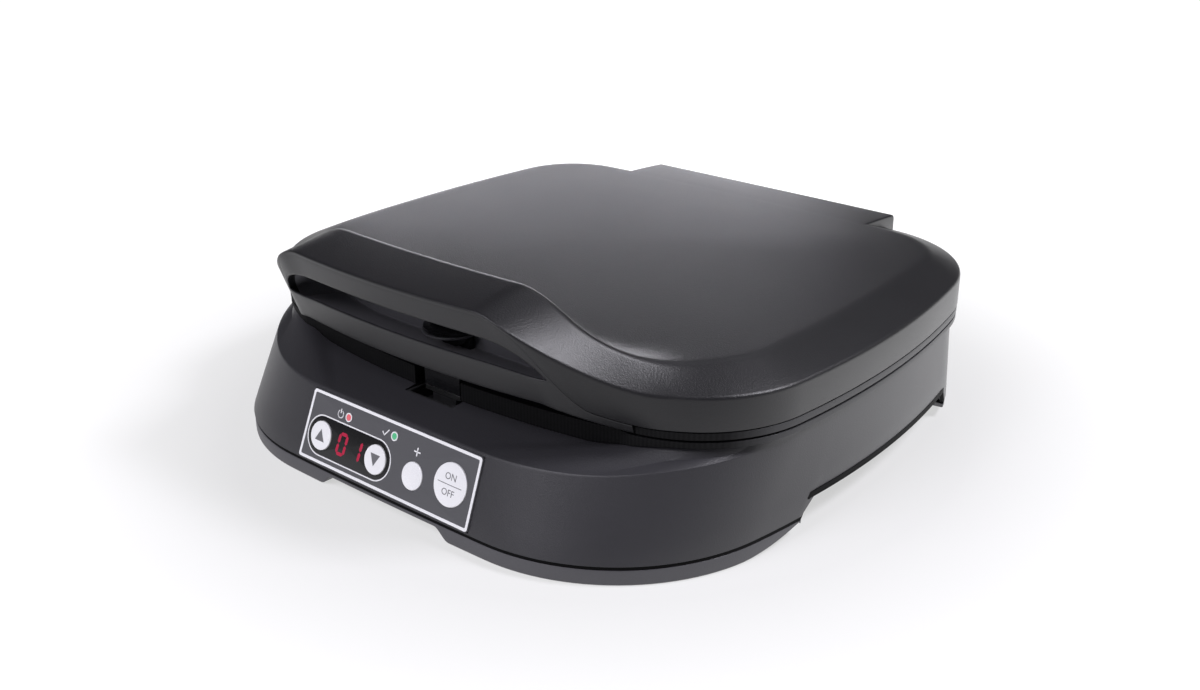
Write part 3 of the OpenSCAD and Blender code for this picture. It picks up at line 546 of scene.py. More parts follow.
def on_top(q, s):
    """A point between the middle of the lid (s = 0) and its crease (s = 1)."""
    x, y, z = crease_edge(q)
    start = 0.72 + 0.16 * (1 - swell(x, 62, 112))
    rise = max(0.0, (s - start) / (1 - start)) ** 1.5
    return (x * s, lid_mid + (y - lid_mid) * s, crease_z + (z - crease_z) * rise + lid_dome * (1 - s * s))


print("handle rises to", round(rim_top + handle_rise, 1))

# %% [markdown]
# ## The lid's skin
# One profile per outline point: out from the middle, over the crease, down the bevel, round the crisper
# rim, down the wall to the seam, then back up inside.
# %% Lid profile


def lid_profile(p, q, inner_p, inner_q):
    seam = on_wall(p, seam_at(p[0]) if p[1] < 0 else 0.0)
    rim, crest = on_wall(p, 1.0), on_top(q, 1.0)
    path = [on_top(q, s) for s in (0.03, 0.08, 0.15, 0.25, 0.35, 0.45, 0.55, 0.63, 0.68, 0.7, 0.72, 0.74, 0.77,
                                   0.8, 0.84, 0.88, 0.92, 0.95)]
    path += soft(path[-1], crest, rim, 3.2, 6)
    path += [mix(path[-1], rim, 0.5)]
    path += soft(crest, rim, seam, 1.7, 6)
    inside = on_wall(inner_p, seam_at(inner_p[0]) if inner_p[1] < 0 else 0.0)
    edge = (inside[0], inside[1], seam[2])
    path += soft(path[-1], seam, edge, 0.35 - 0.25 * swell(p[0], *SEAM_STEP), 3)
    under = [on_wall(inner_p, 1.0)]
    under += [on_top(inner_q, s) for s in (0.98, 0.92, 0.84, 0.78, 0.72, 0.6, 0.4, 0.2, 0.03)]
    return path + [edge] + [(x, y, z - skin) for x, y, z in under]


around = list(zip(lid_line(), crease_line(), lid_line(skin), crease_line(skin)))
lid_top = loft("lid_top", columns([lid_profile(*four) for four in around]), caps=(True, True), sharp=50)
hollow_y, hollow_z, hollow_foot = lid_back - 24.4, crease_z - 3.2, lid_z - 5
under_tail = [(hollow_y, hollow_foot), (hollow_y, hollow_z), (tail_y - skin, hollow_z - 1.64),
              (tail_y - skin, hollow_foot)]
carve(lid_top, prism(under_tail, skin - tail_half, tail_half - skin), sharp=50)
place(lid_top, "charcoal_shell", "lid", "lid_shell")

# %% [markdown]
# ## The tail over the hinge
# At the back the lid's top runs on past its wall and drops over the hinge. The tail's top follows the
# lid's rule past the crease, and starts a hair under the lid.
# %% Tail
hinge_z = split_z + 12.6
rear_crease = max(y for x, y in crease_line())


def tail_height(x, y, span=0.263, fall=0.45, tuck=0.03):
    """fall is how far it drops over its span past the crease, tuck how far it lies under the lid."""
    s = 1.0
    for _ in range(6):
        s = (y - lid_mid) / (rear_crease - (x / s) ** 2 / (2 * crease_rear_r) - lid_mid)
    past = max(0.0, s - 1) / span
    return crease_z + lid_dome * (1 - s * s) - fall * past * past - tuck * (1 - ease(past * 6))


def tail_profile(x, drop):
    back_y = tail_y - drop * 0.6
    top, foot = (x, back_y, tail_height(x, tail_y) - drop), (x, back_y, hinge_z + 3)
    path = [(x, y, tail_height(x, y) - drop) for y in (118, 124, 128, 130, 132, 134, 137, 142, 148, 154)]
    return path + soft(path[-1], top, foot, 2.2, 6) + [foot]


turn = ((tail_half, 0.9), (85.42, 0.5), (85.1, 0.18), (84.6, 0.03), (84, 0))
rows_at = [(-x, drop) for x, drop in turn] + [(7 * i, 0) for i in range(-11, 12)] + list(turn[::-1])
tail = loft("lid_tail", [tail_profile(x, drop) for x, drop in rows_at], round_row=False)
cheeks = []
for way in (-tail_half, tail_half):
    upper_rim = tail_profile(way, 0.9)
    lower_rim = [(way, max(y, lid_back - 6.6), hinge_z + (3 if y > tail_y - 1 else 0)) for _, y, _ in upper_rim]
    cheeks.append(loft("cheek", [upper_rim, lower_rim], round_row=False))
stitch(tail, *cheeks)
thick = tail.modifiers.new("thickness", "SOLIDIFY")
thick.thickness, thick.offset = 2.0 * MM, -1
place(tail, "charcoal_shell", "lid", "lid_shell")

# %% [markdown]
# ## The handle front
# One moulding: a leaning face with a long finger slot, a pocket behind it and a lip below. The face is a
# ring of quads round the slot, and a plain strip carries it on to each corner. `face_point` lays each
# point onto the leaning surface.
# %% Points on the leaning face
END = max(p[0] for p in lid_line()[:FINE[0] + 1])
LIP = 1.3


def face_lines(x):
    """The chin and the top edge above x."""
    p = (x, lid_front + nose_r - math.sqrt(nose_r ** 2 - x * x))
    return chin_edge(p), top_edge(p)


def face_point(x, z, depth=0.0):
    a, b = face_lines(x)
    return (x, a[1] + (b[1] - a[1]) * (z - a[2]) / (b[2] - a[2]) + depth, z)


def face_foot(x):
    return face_lines(x)[0][2] + LIP


def face_head(x):
    a, b = face_lines(x)
    return a[2] + (b[2] - a[2]) * seam_at(x) - 0.9 + 0.7 * swell(x, *SEAM_STEP)


print("face runs to x =", round(END, 2))


# %% Outline of the slot and its pocket
def slot_low(u): return slot_z - 1.6 * abs(u) ** 3
def slot_high(u): return slot_low(u) + slot_tall * (1 - abs(u) ** 11)
def middle_low(u): return chin_z + 2.6 + 6.6 * abs(u) ** 8
def rear_low(u): return chin_z - 0.8 + 6.6 * abs(u) ** 8
def rear_high(u): return min(slot_high(u), slot_z + slot_tall - 6.4 - 9.1 * abs(u) ** 4)


N_SLOT, N_CORNER, REACH = 84, 7, 92.0


def slot_ring(kind, grow, depth):
    """kind 0 is the slot in the face, 1 just behind it, 2 the pocket's back wall."""
    ring = []
    for i in range(2 * N_SLOT):
        u, upper = -math.cos(math.pi * i / N_SLOT), i < N_SLOT
        x = u * (slot_half * (0.93 if kind == 2 else 1) + grow)
        low = (slot_low, middle_low, rear_low)[kind](u) - grow
        high = (rear_high if kind == 2 else slot_high)(u) + grow * (1 - abs(u) ** 12)
        z = (low + high) / 2 if i % N_SLOT == 0 else high if upper else low
        ring.append((x, depth, z) if kind == 2 else face_point(x, z, depth))
    return ring


def frame_point(i):
    """Point on the face's own outline that goes with point i of the slot."""
    e, upper = min(i % N_SLOT, N_SLOT - i % N_SLOT), i < N_SLOT
    u = -math.cos(math.pi * i / N_SLOT)
    if e >= N_CORNER:
        x = REACH * u / math.cos(math.pi * N_CORNER / N_SLOT)
        return x, face_head(x) if upper else face_foot(x)
    x, up = math.copysign(REACH, u), 0.5 + 0.5 * e / N_CORNER * (1 if upper else -1)
    return x, face_foot(x) + (face_head(x) - face_foot(x)) * up


# %% Face, pocket and edges in one skin
heart_z = chin_z + 14


def face_rows():
    """Rows of the pocket, from its back wall to the slot, and rows of the face round the slot."""
    outer = [frame_point(i) for i in range(2 * N_SLOT)]
    edge = slot_ring(0, LIP, 0)
    rows = [[face_point(x0 + (x1 - x0) * t, z0 + (z1 - z0) * t)
             for (x0, _, z0), (x1, z1) in zip(edge, outer)] for t in (0, 0.15, 0.35, 0.6, 0.8, 1)]
    turn = columns([bend(a, b, c) for a, b, c in zip(slot_ring(0, 0.2, LIP), slot_ring(0, 0, 0), edge)])
    rear, near = slot_ring(2, 0, pocket_back - 2.4), slot_ring(1, 0, 4.5)
    round_rear = columns([bend(mix(a, (0, a[1], heart_z), 0.03), a, mix(a, b, 0.1)) for a, b in zip(rear, near)])
    back = [[mix((a[0] * 0.9, a[1], heart_z), a, t) for a in round_rear[0]] for t in (0.05, 0.5, 0.9)]
    return back + round_rear + [[mix(a, b, 0.6) for a, b in zip(rear, near)], near], [near] + turn[:-1] + rows


def strip_rows(way):
    ups = [j / (2 * N_CORNER) for j in range(2 * N_CORNER + 1)]
    return [[face_point(way * x, face_foot(x) + (face_head(x) - face_foot(x)) * v) for v in ups] for x in side_x]


side_x = [REACH + (END - REACH) * i / 14 for i in range(15)]
edge_x = [frame_point(i)[0] for i in range(N_CORNER, N_SLOT - N_CORNER + 1)]
all_x = [-x for x in side_x[:0:-1]] + edge_x + side_x[1:]
print("columns:", len(all_x))


# %% Lip and top return
def lip_profile(x):
    chin, foot = face_lines(x)[0], face_point(x, face_foot(x))
    _, y, z = chin
    return bend(foot, chin, (x, y + LIP, z)) + [(x, y + wall, z), (x, y + wall, z + 4)]


def head_profile(x):
    z = face_head(x)
    top_front = face_point(x, z + 0.6)
    return bend(face_point(x, z), top_front, face_point(x, z + 0.6, 0.6), 3) + [face_point(x, z + 0.6, 2.4)]


pocket_rows, front_rows = face_rows()
pocket = face_outwards(loft("handle_pocket", pocket_rows, caps=(True, False)))
# Inside, the pocket carries the painted light, far lighter than the shell.
place(pocket, "pocket_plastic", "lid", "handle_front")
pocket_mid = (pocket_back - 14, chin_z + 12)


def further_out(x, y, z, gap=0.8):
    """The same point, moved away from the pocket's middle line."""
    dy, dz = y - pocket_mid[0], z - pocket_mid[1]
    return x * 1.008, y + gap * dy / math.hypot(dy, dz), z + gap * dz / math.hypot(dy, dz)


# Outside, the pocket keeps the shell's own charcoal, so the painted light shows only inside.
cover = loft("pocket_cover", [[further_out(*p) for p in row] for row in pocket_rows], caps=(True, False))
place(cover, "charcoal_shell", "lid", "handle_front")
face = loft("handle_front_face", front_rows)
strips = [loft("strip", strip_rows(way), round_row=False) for way in (-1, 1)]
lip = loft("lip", [lip_profile(x) for x in all_x], round_row=False)
head = loft("head", [head_profile(x) for x in all_x], round_row=False)
place(stitch(face, *strips, lip, head), "charcoal_shell", "lid", "handle_front")

# %% [markdown]
# ## The release tab
# In the middle of the finger slot a half-round tab hangs from the latch. Pulling it tilts the latch. It
# is dark, and a lip round its lower edge is painted lighter grey: a painted highlight on its rim.
# %% Release tab


def half_round(r, z):
    ring = [(x, y, z) for x, y in arc((0, tab_y), r, math.pi, 2 * math.pi, 40) + [(r, tab_y)]]
    return ring + [(r * (1 - i / 10), tab_y + 3, z) for i in range(21)]


tab_y = latch_y + 1.5
TAB = ((13.6, -8.4), (14.0, -8.0), (14.0, -6.4), (13.4, -6.0))
# The lip takes the panel's lighter grey as a painted highlight along the tab's rim.
TAB_HIGHLIGHT_LIP = ((13.7, -9.4), (14.5, -9.4), (14.8, -8.9), (14.5, -8.4), (13.7, -8.4))
for name, tint, levels in (("latch_tab", "latch_plastic", TAB), ("latch_tab_highlight_lip", "panel", TAB_HIGHLIGHT_LIP)):
    place(loft(name, [half_round(r, latch_z + z) for r, z in levels], caps=(True, True)), tint, "latch")

# %% [markdown]
# ## The two bands at the split
# The lid and the base each end in a thin dark frame that holds its plate: flush with the lid's wall at
# the sides, and a few millimetres back behind the lip, where the finish shows fine upright ribs. Its colour
# is painted light and shade: a lighter grey at the sides, near black behind the lip.
# %% Plate opening
plate_half, plate_front = side("upper_plate", "right"), side("upper_plate", "front")
plate_back, plate_turn, plate_r = side("upper_plate", "back"), 24, 2000


def plate_line(k=0.0):
    return outline(plate_half - k, 0, plate_r, plate_turn - k, plate_r, plate_front + k,
                   plate_turn - k, plate_r, plate_back - k)


def behind_lip(p, q):
    """Behind the lip the band's face is q; where the lip ends it comes out to p again."""
    return mix(p, q, ease((END - 1 - abs(p[0])) / 9) if p[1] < 0 else 0.0)


print("plate opening ends at", round(plate_half, 1))
# %% Bands
gate = side("latch_lever", "right") + 0.9


def section(p, inner, low, high, foot_r=0.25, head_r=0.25, n=3):
    """Across a ring: its outer face with two soft edges, then its inner face."""
    a, b, c, d = (*p, low), (*p, high), (*inner, high), (*inner, low)
    return soft(d, a, b, foot_r, n) + soft(a, b, c, head_r, 3) + [c, d]


def clear_ways(piece, top, foot=30):
    """Cuts a way for the latch in front and for the hinge behind."""
    return carve(piece, block((-gate, lid_front - 20, foot), (gate, latch_y + 6, top)),
                 block((-hinge_half, plate_back + 7.6, foot), (hinge_half, back + 30, top)))


def split_band(name, step, out, foot, top, body, node):
    """step is how far the band stands back behind the lip, out the same elsewhere."""
    outer = [behind_lip(p, q) for p, q in zip(lid_line(out), lid_line(step))]
    profiles = [section(p, q, foot(p), top) for p, q in zip(outer, plate_line(-0.6))]
    place(clear_ways(loft(name, columns(profiles), closed=True), 80), "band_plastic", body, node)


split_band("upper_band", 5.5, 0.15, lambda p: split_z + 0.25, lid_z - 0.55, "lid", "upper_frame")


# %% Deck and lower band
def deck_share(y):
    """0 at the front, 1 from the middle of the side: steep at the corner, then slower."""
    t = min(1.0, max(0.0, ((y - deck_y) / -deck_y - 0.05) / 0.95))
    return (1 - (1 - t) ** 1.4) * ease(t * 5 + 0.2)


def deck_height(y):
    return deck_z + (rim_z - deck_z) * deck_share(y)


def deck_foot(p, rise=3.2):
    """Height where the deck meets the band: it climbs quickly round each front corner."""
    climb = ease((abs(p[0]) - 86) / 46) if p[1] < 0 else 1.0
    return deck_z + rise + (rim_z - deck_z - rise) * climb


split_band("lower_band", 2.5, 0.3, lambda p: deck_foot(p) + 0.3, band_top - 0.3, "base", "lower_frame")


# %% Painted shade in the gaps
def belt(name, line, near, far, low, high):
    """A closed ring between two insets of an outline and two heights."""
    corners = ((near, low), (near, high), (far, high), (far, low))
    return loft(name, [[(*p, z) for p in line(k)] for k, z in corners], closed=True)


# Black rings inside the split and the lid's seam: painted shade, so each gap reads as a dark line.
for name, low, high, body, node in (("split_painted_shade", band_top - 1.4, split_z - 0.1, "base", "lower_frame"),
                                    ("lid_painted_shade", lid_z - 1.6, lid_z + 1.0, "lid", "upper_frame")):
    place(clear_ways(belt(name, lid_line, 6, 7.5, low, high), 90), "dark_gap", body, node)

# %% [markdown]
# ## The base
# The base is one shell: a leaning wall, a sloping deck that runs under the bands, and the inside of both.
# The wall lifts at each side into a hand notch. The seat of the panel, the latch's pit and the places of
# the hinge and the lead are cut afterwards.
# %% Base profile
notch_top, notch_in, notch_out = skirt_z + 9.1, 5.5, 3.6
notch_front, notch_back = front + 117, back - 55.8


def wall_foot(y):
    """Height of the wall's lower edge."""
    a, b = (y - notch_front + notch_in) / 5.2, (notch_back + notch_out - y) / notch_out
    return skirt_z + (notch_top - skirt_z) * min(1, max(0, a)) * min(1, max(0, b))


def base_profile(low, high, low_in, high_in, near, deck_in):
    foot = wall_foot(low[1])
    w = (foot - skirt_z) / (deck_z - skirt_z)
    top_z, deck_end = deck_height(high[1]), deck_foot(near)
    a, b, c, d = (*mix(low, high, w), foot), (*high, top_z), (*near, deck_end), (*deck_in, deck_end + 0.2)
    steep = ease((abs(near[0]) - 100) / 34) if near[1] < 0 else 1.0
    x, y, z = mix(b, c, 0.5 + 0.22 * steep)
    cove = (x, y, z - 0.28 * steep * (c[2] - b[2]))
    a_in, b_in, c_in = (*mix(low_in, high_in, w), foot), (*high_in, top_z - wall * 1.1), (*deck_in, top_z - wall)
    path = soft(b_in, a_in, a, 0.4, 2) + soft(a_in, a, b, 0.5, 3)
    path += [mix(a, b, t) for t in (0.25, 0.5, 0.75)] + soft(a, b, cove, 2.6 - 1.5 * steep, 7)
    return path + [cove] + soft(cove, c, d, 0.8, 3) + [d, c_in, b_in]


shell = loft("base_body", columns([base_profile(*five) for five in zip(
    base_line(0), base_line(1), base_line(0, wall), base_line(1, wall), lid_line(3), lid_line(12))]), closed=True)
# %% [markdown]
# The panel leans with the wall, so its parts are set out flat: `on_panel` turns a point given across, up
# and out of the panel into the frame's own coordinates.
# %% The panel's own plane
panel_mid = (0.0, (front + deck_y) / 2, (skirt_z + deck_z) / 2)
pw, ph = (side("control_fascia", "right") - side("control_fascia", "left")) / 2, 17.8


def on_panel(across, up, out):
    c, s = math.cos(lean), math.sin(lean)
    return (across, panel_mid[1] + up * s - out * c, panel_mid[2] + up * c + out * s)


def panel_block(low, high):
    piece = block(low, high)
    for v in piece.data.vertices:
        v.co = Vector(on_panel(*(v.co / MM))) * MM
    return piece


def rod(x, y, z, radius, reach):
    """A round cutter along Y."""
    ring = arc((x, z), radius, 0, 2 * math.pi, 48)
    return loft("rod", [[(a, y + end, b) for a, b in ring] for end in (-reach, reach)], caps=(True, True))


# %% Cut the base
hatch = side("magnet_housing", "right")
axis_z = side("hinge_pins", "top") - 4.6
carve(shell, block((-hinge_half, lid_back - 27, axis_z - 23.3), (hinge_half, back + 12, axis_z + 20)),
      panel_block((-pw - 0.1, -ph - 0.1, -1.8), (pw + 0.1, ph + 0.1, 10)),
      panel_block((-pw + 2, -ph + 4, -9), (pw - 2, ph - 4, 1)),
      block((-hatch - 0.2, latch_y - 16.5, deck_z - 12), (hatch + 0.2, latch_y + 9, rim_z + 4)),
      rod(middle("cord_gland"), back, middle("cord_gland", "top", "bottom"), 6.4, 12))
# The base's finish is painted lighter than the lid's: painted light.
place(shell, "base_shell_finish", "base", "base_shell")

# %% [markdown]
# ## The underside
# A cover closes the base from below. Its rim follows the wall, with a fine gap above it that a black
# strip of painted shade darkens, and lifts off the table in the middle of the front.
# %% Foot rim
def rim_foot(p):
    front_gap = ease((45 - abs(p[0])) / 9) if p[1] < -80 else 0.0
    rear_gap = ease((64 - abs(p[0])) / 8) if p[1] > 100 else 0.0
    near_notch = max(0.0, (p[1] - notch_front + 46) / 40.5) ** 2 if p[1] < notch_front - notch_in + 0.5 else 0.0
    if p[1] > notch_back:
        near_notch = max(0.0, (notch_back + 44 - p[1]) / 44) ** 2
    return 0.3 + (skirt_z - 4.1) * max(front_gap, rear_gap) + (skirt_z - 3.0) * near_notch


def notch_cutter():
    shape = [(notch_front - notch_in, -20), (notch_front - notch_in, skirt_z - 0.01), (notch_front - 0.3, notch_top),
             (notch_back, notch_top), (notch_back + notch_out, skirt_z - 0.01), (notch_back + notch_out, -20)]
    return prism(shape, -half_width - 20, half_width + 20)


sections = [section(p, q, rim_foot(p), skirt_z - 1.9, 0.9, 0.4, 4)
            for p, q in zip(base_line(0, 0.4), base_line(0, 26))]
rim = loft("foot_rim", columns(sections), closed=True)
place(carve(rim, notch_cutter()), "cover_plastic", "base", "bottom_cover")
# %% Painted shade line under the wall
# A black strip inside the gap under the wall: painted shade.
edge_painted_shade = loft("edge_painted_shade", [[(*p, wall_foot(p[1]) + z) for p in base_line(0.02, k)] for k, z in (
    (0.45, 1.0), (0.45, -2.1), (2.4, -2.1), (2.4, 1.0))], closed=True)
place(edge_painted_shade, "dark_gap", "base", "bottom_cover")
# %% Floor pan
pan_in = wall + 7
pan = loft("floor_pan", [[(*p, z) for p in base_line(0.36, pan_in)] for z in (notch_top, notch_top + 2.4)],
           caps=(True, True))
place(pan, "cover_plastic", "base", "bottom_cover")
skirt = belt("pan_skirt", lambda k: base_line(0.3, k), pan_in, pan_in + 2, skirt_z - 1.3, notch_top + 0.6)
place(carve(skirt, notch_cutter()), "cover_plastic", "base", "bottom_cover")

# %% [markdown]
# ## The control panel
# The panel is a thin plate in a shallow seat of the wall: rounded outlines are stacked, the holes are
# cut, and a white line is printed just inside its edge.
# %% Flat outlines


def circle(u, v, r, n=64):
    return arc((u, v), r, 0, 2 * math.pi, n)


def round_box(w, h, r):
    points = []
    for cx, cy, start in ((w - r, h - r, 0), (r - w, h - r, 90), (r - w, r - h, 180), (w - r, r - h, 270)):
        turns = [math.radians(start + 15 * i) for i in range(7)]
        points += [(cx + r * math.cos(a), cy + r * math.sin(a)) for a in turns]
    return points


def pill(r, n=28):
    """An outline round both arrow buttons."""
    bow = [(r * math.sin(math.pi * i / n), r * math.cos(math.pi * i / n)) for i in range(n + 1)]
    return [(down_u + a, row_v - b) for a, b in bow] + [(up_u - a, row_v + b) for a, b in bow]


def plate(name, levels, closed=False):
    """A flat piece on the panel from (outline, height) levels, capped at both ends or closed to a ring."""
    rows = [[on_panel(a, b, out) for a, b in shape] for shape, out in levels]
    return loft(name, rows, closed, caps=(not closed, not closed))


def hoop(name, outer, inner, low=0.2, high=0.36):
    """A thin line of white ink between two outlines with equal counts."""
    place(plate(name, [(outer, low), (outer, high), (inner, high), (inner, low)], True), "white_ink", "base")


# %% Where the controls sit
start_u, up_u, down_u, more_u, red_u, green_u = (middle(node) for node in (
    "start_button", "up_button", "down_button", "more_button", "power_lens", "ready_lens"))
row_v, red, green = -3.7, (red_u, 10.2), (green_u, 10.6)
start_r, arrow_r, more_r, pill_r = 10.35, 7.25, 6.75, 9.35
print("large button at", round(start_u, 1))


# %% Panel plate and printed lines
def panel_box(k, r):
    """The panel's outline, k inwards. Its lower left corner stands out a little, as the wall widens there."""
    return [(a - (1.1 * (1 - b / ph) if a < 0 else 0.0), b) for a, b in round_box(pw - k, ph - k, r)]


def punch(piece, *shapes):
    return carve(piece, *[plate("hole", [(shape, -4), (shape, 2)]) for shape in shapes])


panel = plate("panel_plate", [(panel_box(0, 1.6), -1.7), (panel_box(0, 1.6), 0.1),
                              (panel_box(0.08, 1.5), 0.25), (panel_box(0.25, 1.4), 0.3)])
punch(panel, pill(pill_r + 0.1), circle(start_u, 0, start_r + 0.2), circle(more_u, row_v, more_r + 0.2),
      circle(*red, 2.3), circle(*green, 2.3))
place(panel, "panel", "base", "control_fascia")
hoop("panel_line", panel_box(0.35, 1.5), panel_box(1.75, 0.7))
hoop("window_line", pill(pill_r + 0.95), pill(pill_r + 0.35))

# %% [markdown]
# ## Window and digits
# The window is a dark pill that runs under both arrow buttons. Two digits lie just on it: each bar is a
# flat lozenge, and a digit lists the bars that are lit.
# %% Window
window = plate("window_pill", [(pill(pill_r - k), out)
                               for k, out in ((0, -1.6), (0, 0.2), (0.12, 0.34), (0.35, 0.4))])
punch(window, *[circle(u, row_v, arrow_r + 0.2) for u in (up_u, down_u)])
place(window, "window", "base", "display_window")
# %% Digits
BARS = {"a": (0, 1, 0), "d": (0, -1, 0), "f": (-1, 0.5, 1), "b": (1, 0.5, 1), "e": (-1, -0.5, 1), "c": (1, -0.5, 1)}


def bar(u, v, reach, upright, thick=0.85, slant=0.1):
    flat = reach - thick
    shape = [(-reach, 0), (-flat, thick), (flat, thick), (reach, 0), (flat, -thick), (-flat, -thick)]
    shape = [(b, a) for a, b in shape[::-1]] if upright else shape
    shape = [(u + a + slant * (v + b - row_v), v + b) for a, b in shape]
    return plate("bar", [(shape, 0.3), (shape, 0.43)])


def digit(name, u, lit, half_w=2.5, half_h=5.0):
    bars = []
    for key, (du, dv, upright) in BARS.items():
        if key in lit:
            reach = (half_h / 2 if upright else half_w) - 0.12
            bars.append(bar(u + du * half_w, row_v + dv * half_h, reach, upright))
    bars[0].name = name
    place(stitch(*bars), "digits", "base")


digit("digit_tens", (up_u + down_u) / 2 - 4.6, "abcdef")
digit("digit_ones", (up_u + down_u) / 2 + 6.0, "bc")

# %% [markdown]
# ## Buttons
# Each button is a profile over a gentle dome and down a soft edge, spun round. Its signs and words are
# thin grey ink that rides with it.
# %% Turned buttons
CAPS = dict(start_button=(start_u, 0, start_r, 0.4), up_button=(up_u, row_v, arrow_r, 0.25),
            down_button=(down_u, row_v, arrow_r, 0.25), more_button=(more_u, row_v, more_r, 0.6))
PROUD, FLANGE, SEAT, FOOT = 1.3, 0.8, -2.35, -3.2


def turned(name, u, v, profile, n=72):
    """profile is (radius, out) from the middle outwards."""
    return plate(name, [(circle(u, v, r, n), out) for r, out in profile])


for node, (u, v, r, dome) in CAPS.items():
    profile = [(r * t, PROUD - dome * t * t) for t in (0.05, 0.2, 0.4, 0.6, 0.75, 0.88)]
    edge = soft((*profile[-1], 0), (r, PROUD - dome * 1.15, 0), (r, -0.5, 0), 0.5, 5)
    profile += [(a, out) for a, out, _ in edge] + [(r, -2.3), (r + FLANGE, SEAT), (r + FLANGE, FOOT), (0.3, FOOT)]
    place(turned(node + "_cap", u, v, profile), "button", node, node)


# %% Signs on the buttons
def on_cap(node, a, b, lift):
    """A point of the panel's plane, lifted onto the dome of a button."""
    u, v, r, dome = CAPS[node]
    return on_panel(a, b, PROUD - dome * (math.hypot(a - u, b - v) / r) ** 2 + lift)


def sign(name, shape, node, thick=0.04):
    shape = [mix(p, q, t) for p, q in zip(shape, shape[1:] + shape[:1]) for t in (0, 0.25, 0.5, 0.75)]
    mid = [sum(both) / len(shape) for both in zip(*shape)]
    rows = [[on_cap(node, *mix(mid, p, scale), lift) for p in shape] for scale, lift in (
        (1, -0.3), (1, thick), (0.75, thick), (0.5, thick), (0.25, thick), (0.05, thick))]
    place(loft(name, rows, caps=(True, True)), "grey_ink", node)


def arrow(u, way):
    return [(u - 3.3, row_v - 2.7 * way), (u + 3.3, row_v - 2.7 * way), (u, row_v + 3.3 * way)][::way]


sign("up_sign", arrow(up_u, 1), "up_button")
sign("down_sign", arrow(down_u, -1), "down_button")
half_long, half_thick = 7.6, 0.17
across = [start_u - half_long + 2 * half_long * i / 16 for i in range(17)]
sign("start_divider", [(a, -half_thick) for a in across] + [(a, half_thick) for a in across[::-1]], "start_button")


# %% Words on the large button
def word(name, text, v, node="start_button", tall=4.6, thick=0.03):
    letters = bpy.data.curves.new(name, "FONT")
    letters.body, letters.size, letters.extrude = text, tall * MM, thick * MM
    letters.align_x, letters.align_y, letters.resolution_u = "CENTER", "CENTER", 3
    shaper = put(name, letters)
    mesh = final_mesh(shaper)
    bpy.data.objects.remove(shaper)
    for point in mesh.vertices:
        a, b, c = point.co / MM
        point.co = Vector(on_cap(node, start_u + a, v + b, c)) * MM
    place(put(name, mesh), "grey_ink", node)


word("word_on", "ON", 3.6)
word("word_off", "OFF", -3.9)

# %% [markdown]
# ## Lamps and their signs
# Each lamp is a small lens in a bright ring. The signs are a ring with a stroke for power, a tick for
# ready and a plus for more.
# %% Lamps
LENS = [(0.2, 0.62), (0.8, 0.6), (1.4, 0.54), (1.9, 0.42), (2.15, 0.2), (2.2, -3.6), (0.2, -3.6)]
for name, spot, tint in (("power", red, "lens_red"), ("ready", green, "lens_green")):
    place(turned(name + "_lens_cap", *spot, LENS, 40), tint, "base", name + "_lens")
    hoop(name + "_ring", circle(*spot, 2.25, 40), circle(*spot, 1.65, 40), 0.3, 0.66)


# %% Signs on the panel
def stroke(name, points, width):
    strips = []
    for (a, b), (c, d) in zip(points, points[1:]):
        length = math.hypot(c - a, d - b)
        ex, ey = (c - a) / length * width / 4, (d - b) / length * width / 4
        nx, ny = -2 * ey, 2 * ex
        shape = [(a - ex - nx, b - ey - ny), (c + ex - nx, d + ey - ny), (c + ex + nx, d + ey + ny),
                 (a - ex + nx, b - ey + ny)]
        strips.append(plate("strip", [(shape, 0.2), (shape, 0.35)]))
    strips[0].name = name
    place(stitch(*strips) if len(strips) > 1 else strips[0], "white_ink", "base")


tick_u, tick_v = green_u - 6.4, green[1]
stroke("ready_tick", [(tick_u - 2.0, tick_v), (tick_u - 0.6, tick_v - 1.4), (tick_u + 2.0, tick_v + 1.7)], 0.6)
stroke("more_plus_across", [(more_u - 1.9, row_v + 11.6), (more_u + 1.9, row_v + 11.6)], 0.65)
stroke("more_plus_up", [(more_u, row_v + 9.7), (more_u, row_v + 13.5)], 0.65)
ring_u, ring_v = red_u - 6.2, red[1]
turn_from, turn_to = math.radians(125), math.radians(415)
stroke("power_arc", arc((ring_u, ring_v), 1.9, turn_from, turn_to + (turn_to - turn_from) / 24, 25), 0.55)
stroke("power_stroke", [(ring_u, ring_v + 0.5), (ring_u, ring_v + 2.5)], 0.55)

# %% [markdown]
# ## The camera and the studio
# A white floor, greyed by a painted shadow near the grill, a surrounding that is white for the camera's eye
# only, and a few large soft lamps.
# %% Camera


def aim(piece, spot):
    piece.rotation_euler = (Vector(spot) - piece.location).to_track_quat("-Z", "Y").to_euler()


azimuth, rise, away = math.radians(40.1), math.radians(23.01), 0.77546
spot = Vector((-0.01152, 0.01259, 0.02661))
lens = bpy.data.cameras.new("camera")
camera = put("camera", lens)
camera.location = spot + away * Vector((math.sin(azimuth) * math.cos(rise), -math.cos(azimuth) * math.cos(rise),
                                        math.sin(rise)))
aim(camera, spot)
lens.lens, lens.sensor_width, lens.sensor_fit = 41.3, 36.0, "HORIZONTAL"
lens.clip_start, lens.clip_end = 0.05, 60
bpy.context.scene.camera = camera
bpy.context.scene.view_settings.view_transform = "Standard"
print("camera at", camera.location)

# %% Floor
far = 9000
floor = make("studio_floor", [(-far, -far, 0), (far, -far, 0), (far, far, 0), (-far, far, 0)], [(0, 1, 2, 3)])
paper = Finish("paper")
seen = paper.node("LightPath", {}, "Is Camera Ray")
ground = paper.node("SeparateXYZ", {"Vector": paper.place}, 1)
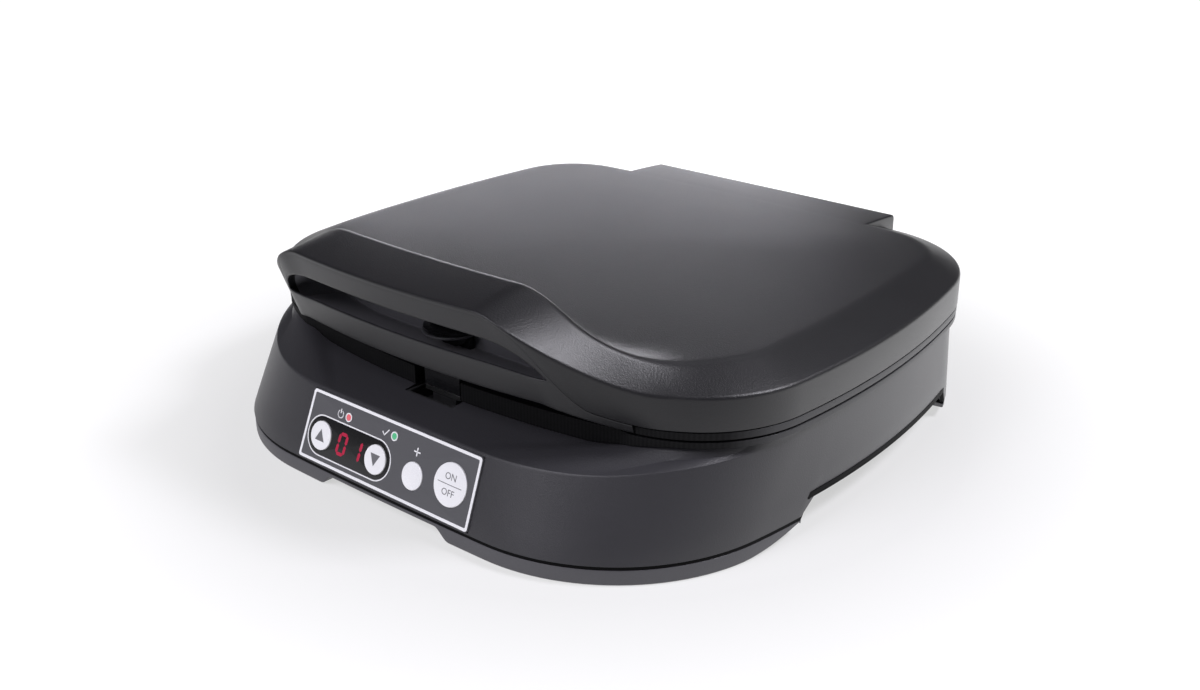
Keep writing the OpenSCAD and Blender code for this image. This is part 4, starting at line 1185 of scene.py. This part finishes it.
# For the camera the floor glows less near the grill: a painted shadow that fades out by 0.44 m from the middle.
painted_shadow_distance = paper.node("VectorMath", {0: paper.place}, "Value", operation="LENGTH")
paper.set(Base_Color=(0.25, 0.25, 0.25, 1), Roughness=0.7, Emission_Strength=1.0,
          Emission_Color=seen * (paper.ramp(painted_shadow_distance, 0.2, 0.44) * 0.42 + 0.58)
          + (1 - seen) * (paper.ramp(ground, -0.2, 0.1) + 0.42))
floor.data.materials.append(finishes["paper"])

# %% Surroundings
world = bpy.data.worlds.new("studio")
bpy.context.scene.world = world
world.use_nodes = True
sky = Net(world.node_tree)
direction = sky.node("TexCoord", {}, "Generated")
height = sky.node("SeparateXYZ", {"Vector": direction}, "Z")
shade = sky.node("ValToRGB", {"Fac": height}, "Color")
stops = shade.socket.node.color_ramp.elements
stops.new(0.22)
for stop, (where, level) in zip(stops, ((0.0, 0.36), (0.14, 0.14), (0.4, 0.07))):
    stop.position, stop.color = where, (level, level, level, 1)
facing = sky.node("VectorMath", {0: direction, 1: (0.35, -0.94, 0.0)}, "Value", operation="DOT_PRODUCT")
dark_side = sky.node("MapRange", {"Value": facing, "From Min": 0.5, "From Max": 0.93, "To Min": 1.0,
                                  "To Max": 0.08}, "Result")
veil = sky.node("VectorMath", {0: shade, 1: dark_side}, "Vector", operation="MULTIPLY")
eye = sky.node("LightPath", {}, "Is Camera Ray")
backdrop = sky.node("Mix", {"Factor": eye, 6: veil, 7: (1, 1, 1, 1)}, 2, data_type="RGBA")
sky.plug(world.node_tree.nodes["Background"].inputs["Color"], backdrop)
sky.plug(world.node_tree.nodes["Background"].inputs["Strength"], 1.0)


# %% Lamps
def lamp(name, spot_at, look_at, wide, deep, power):
    light = bpy.data.lights.new(name, "AREA")
    light.shape, light.size, light.size_y, light.energy = "RECTANGLE", wide, deep, power
    light.color = (0.945, 0.93, 1.0)
    thing = put(name, light)
    thing.location = spot_at
    aim(thing, look_at)
    return thing


over_plates = (0, 0, 0.08)
lamp("lamp_high_right", (0.88, 0.4, 1.26), (0.08, -0.1, 0.1), 0.36, 0.36, 19)
lamp("lamp_low_back", (-1.35, 1.5, 0.3), over_plates, 1.1, 0.2, 5.2)
lamp("lamp_back_high", (-0.32, 1.00, 1.28), over_plates, 0.5, 0.5, 1.1)
lamp("lamp_front", (-0.1, -1.3, 1.5), over_plates, 0.9, 0.9, 15)
lamp("card_front", (-0.12, -1.7, 0.42), (0, -0.1, 0.05), 0.5, 0.5, 2.1)
lamp("lamp_fill", (-0.35, -1.15, 0.75), (0, 0, 0.06), 0.8, 0.8, 9).visible_glossy = False
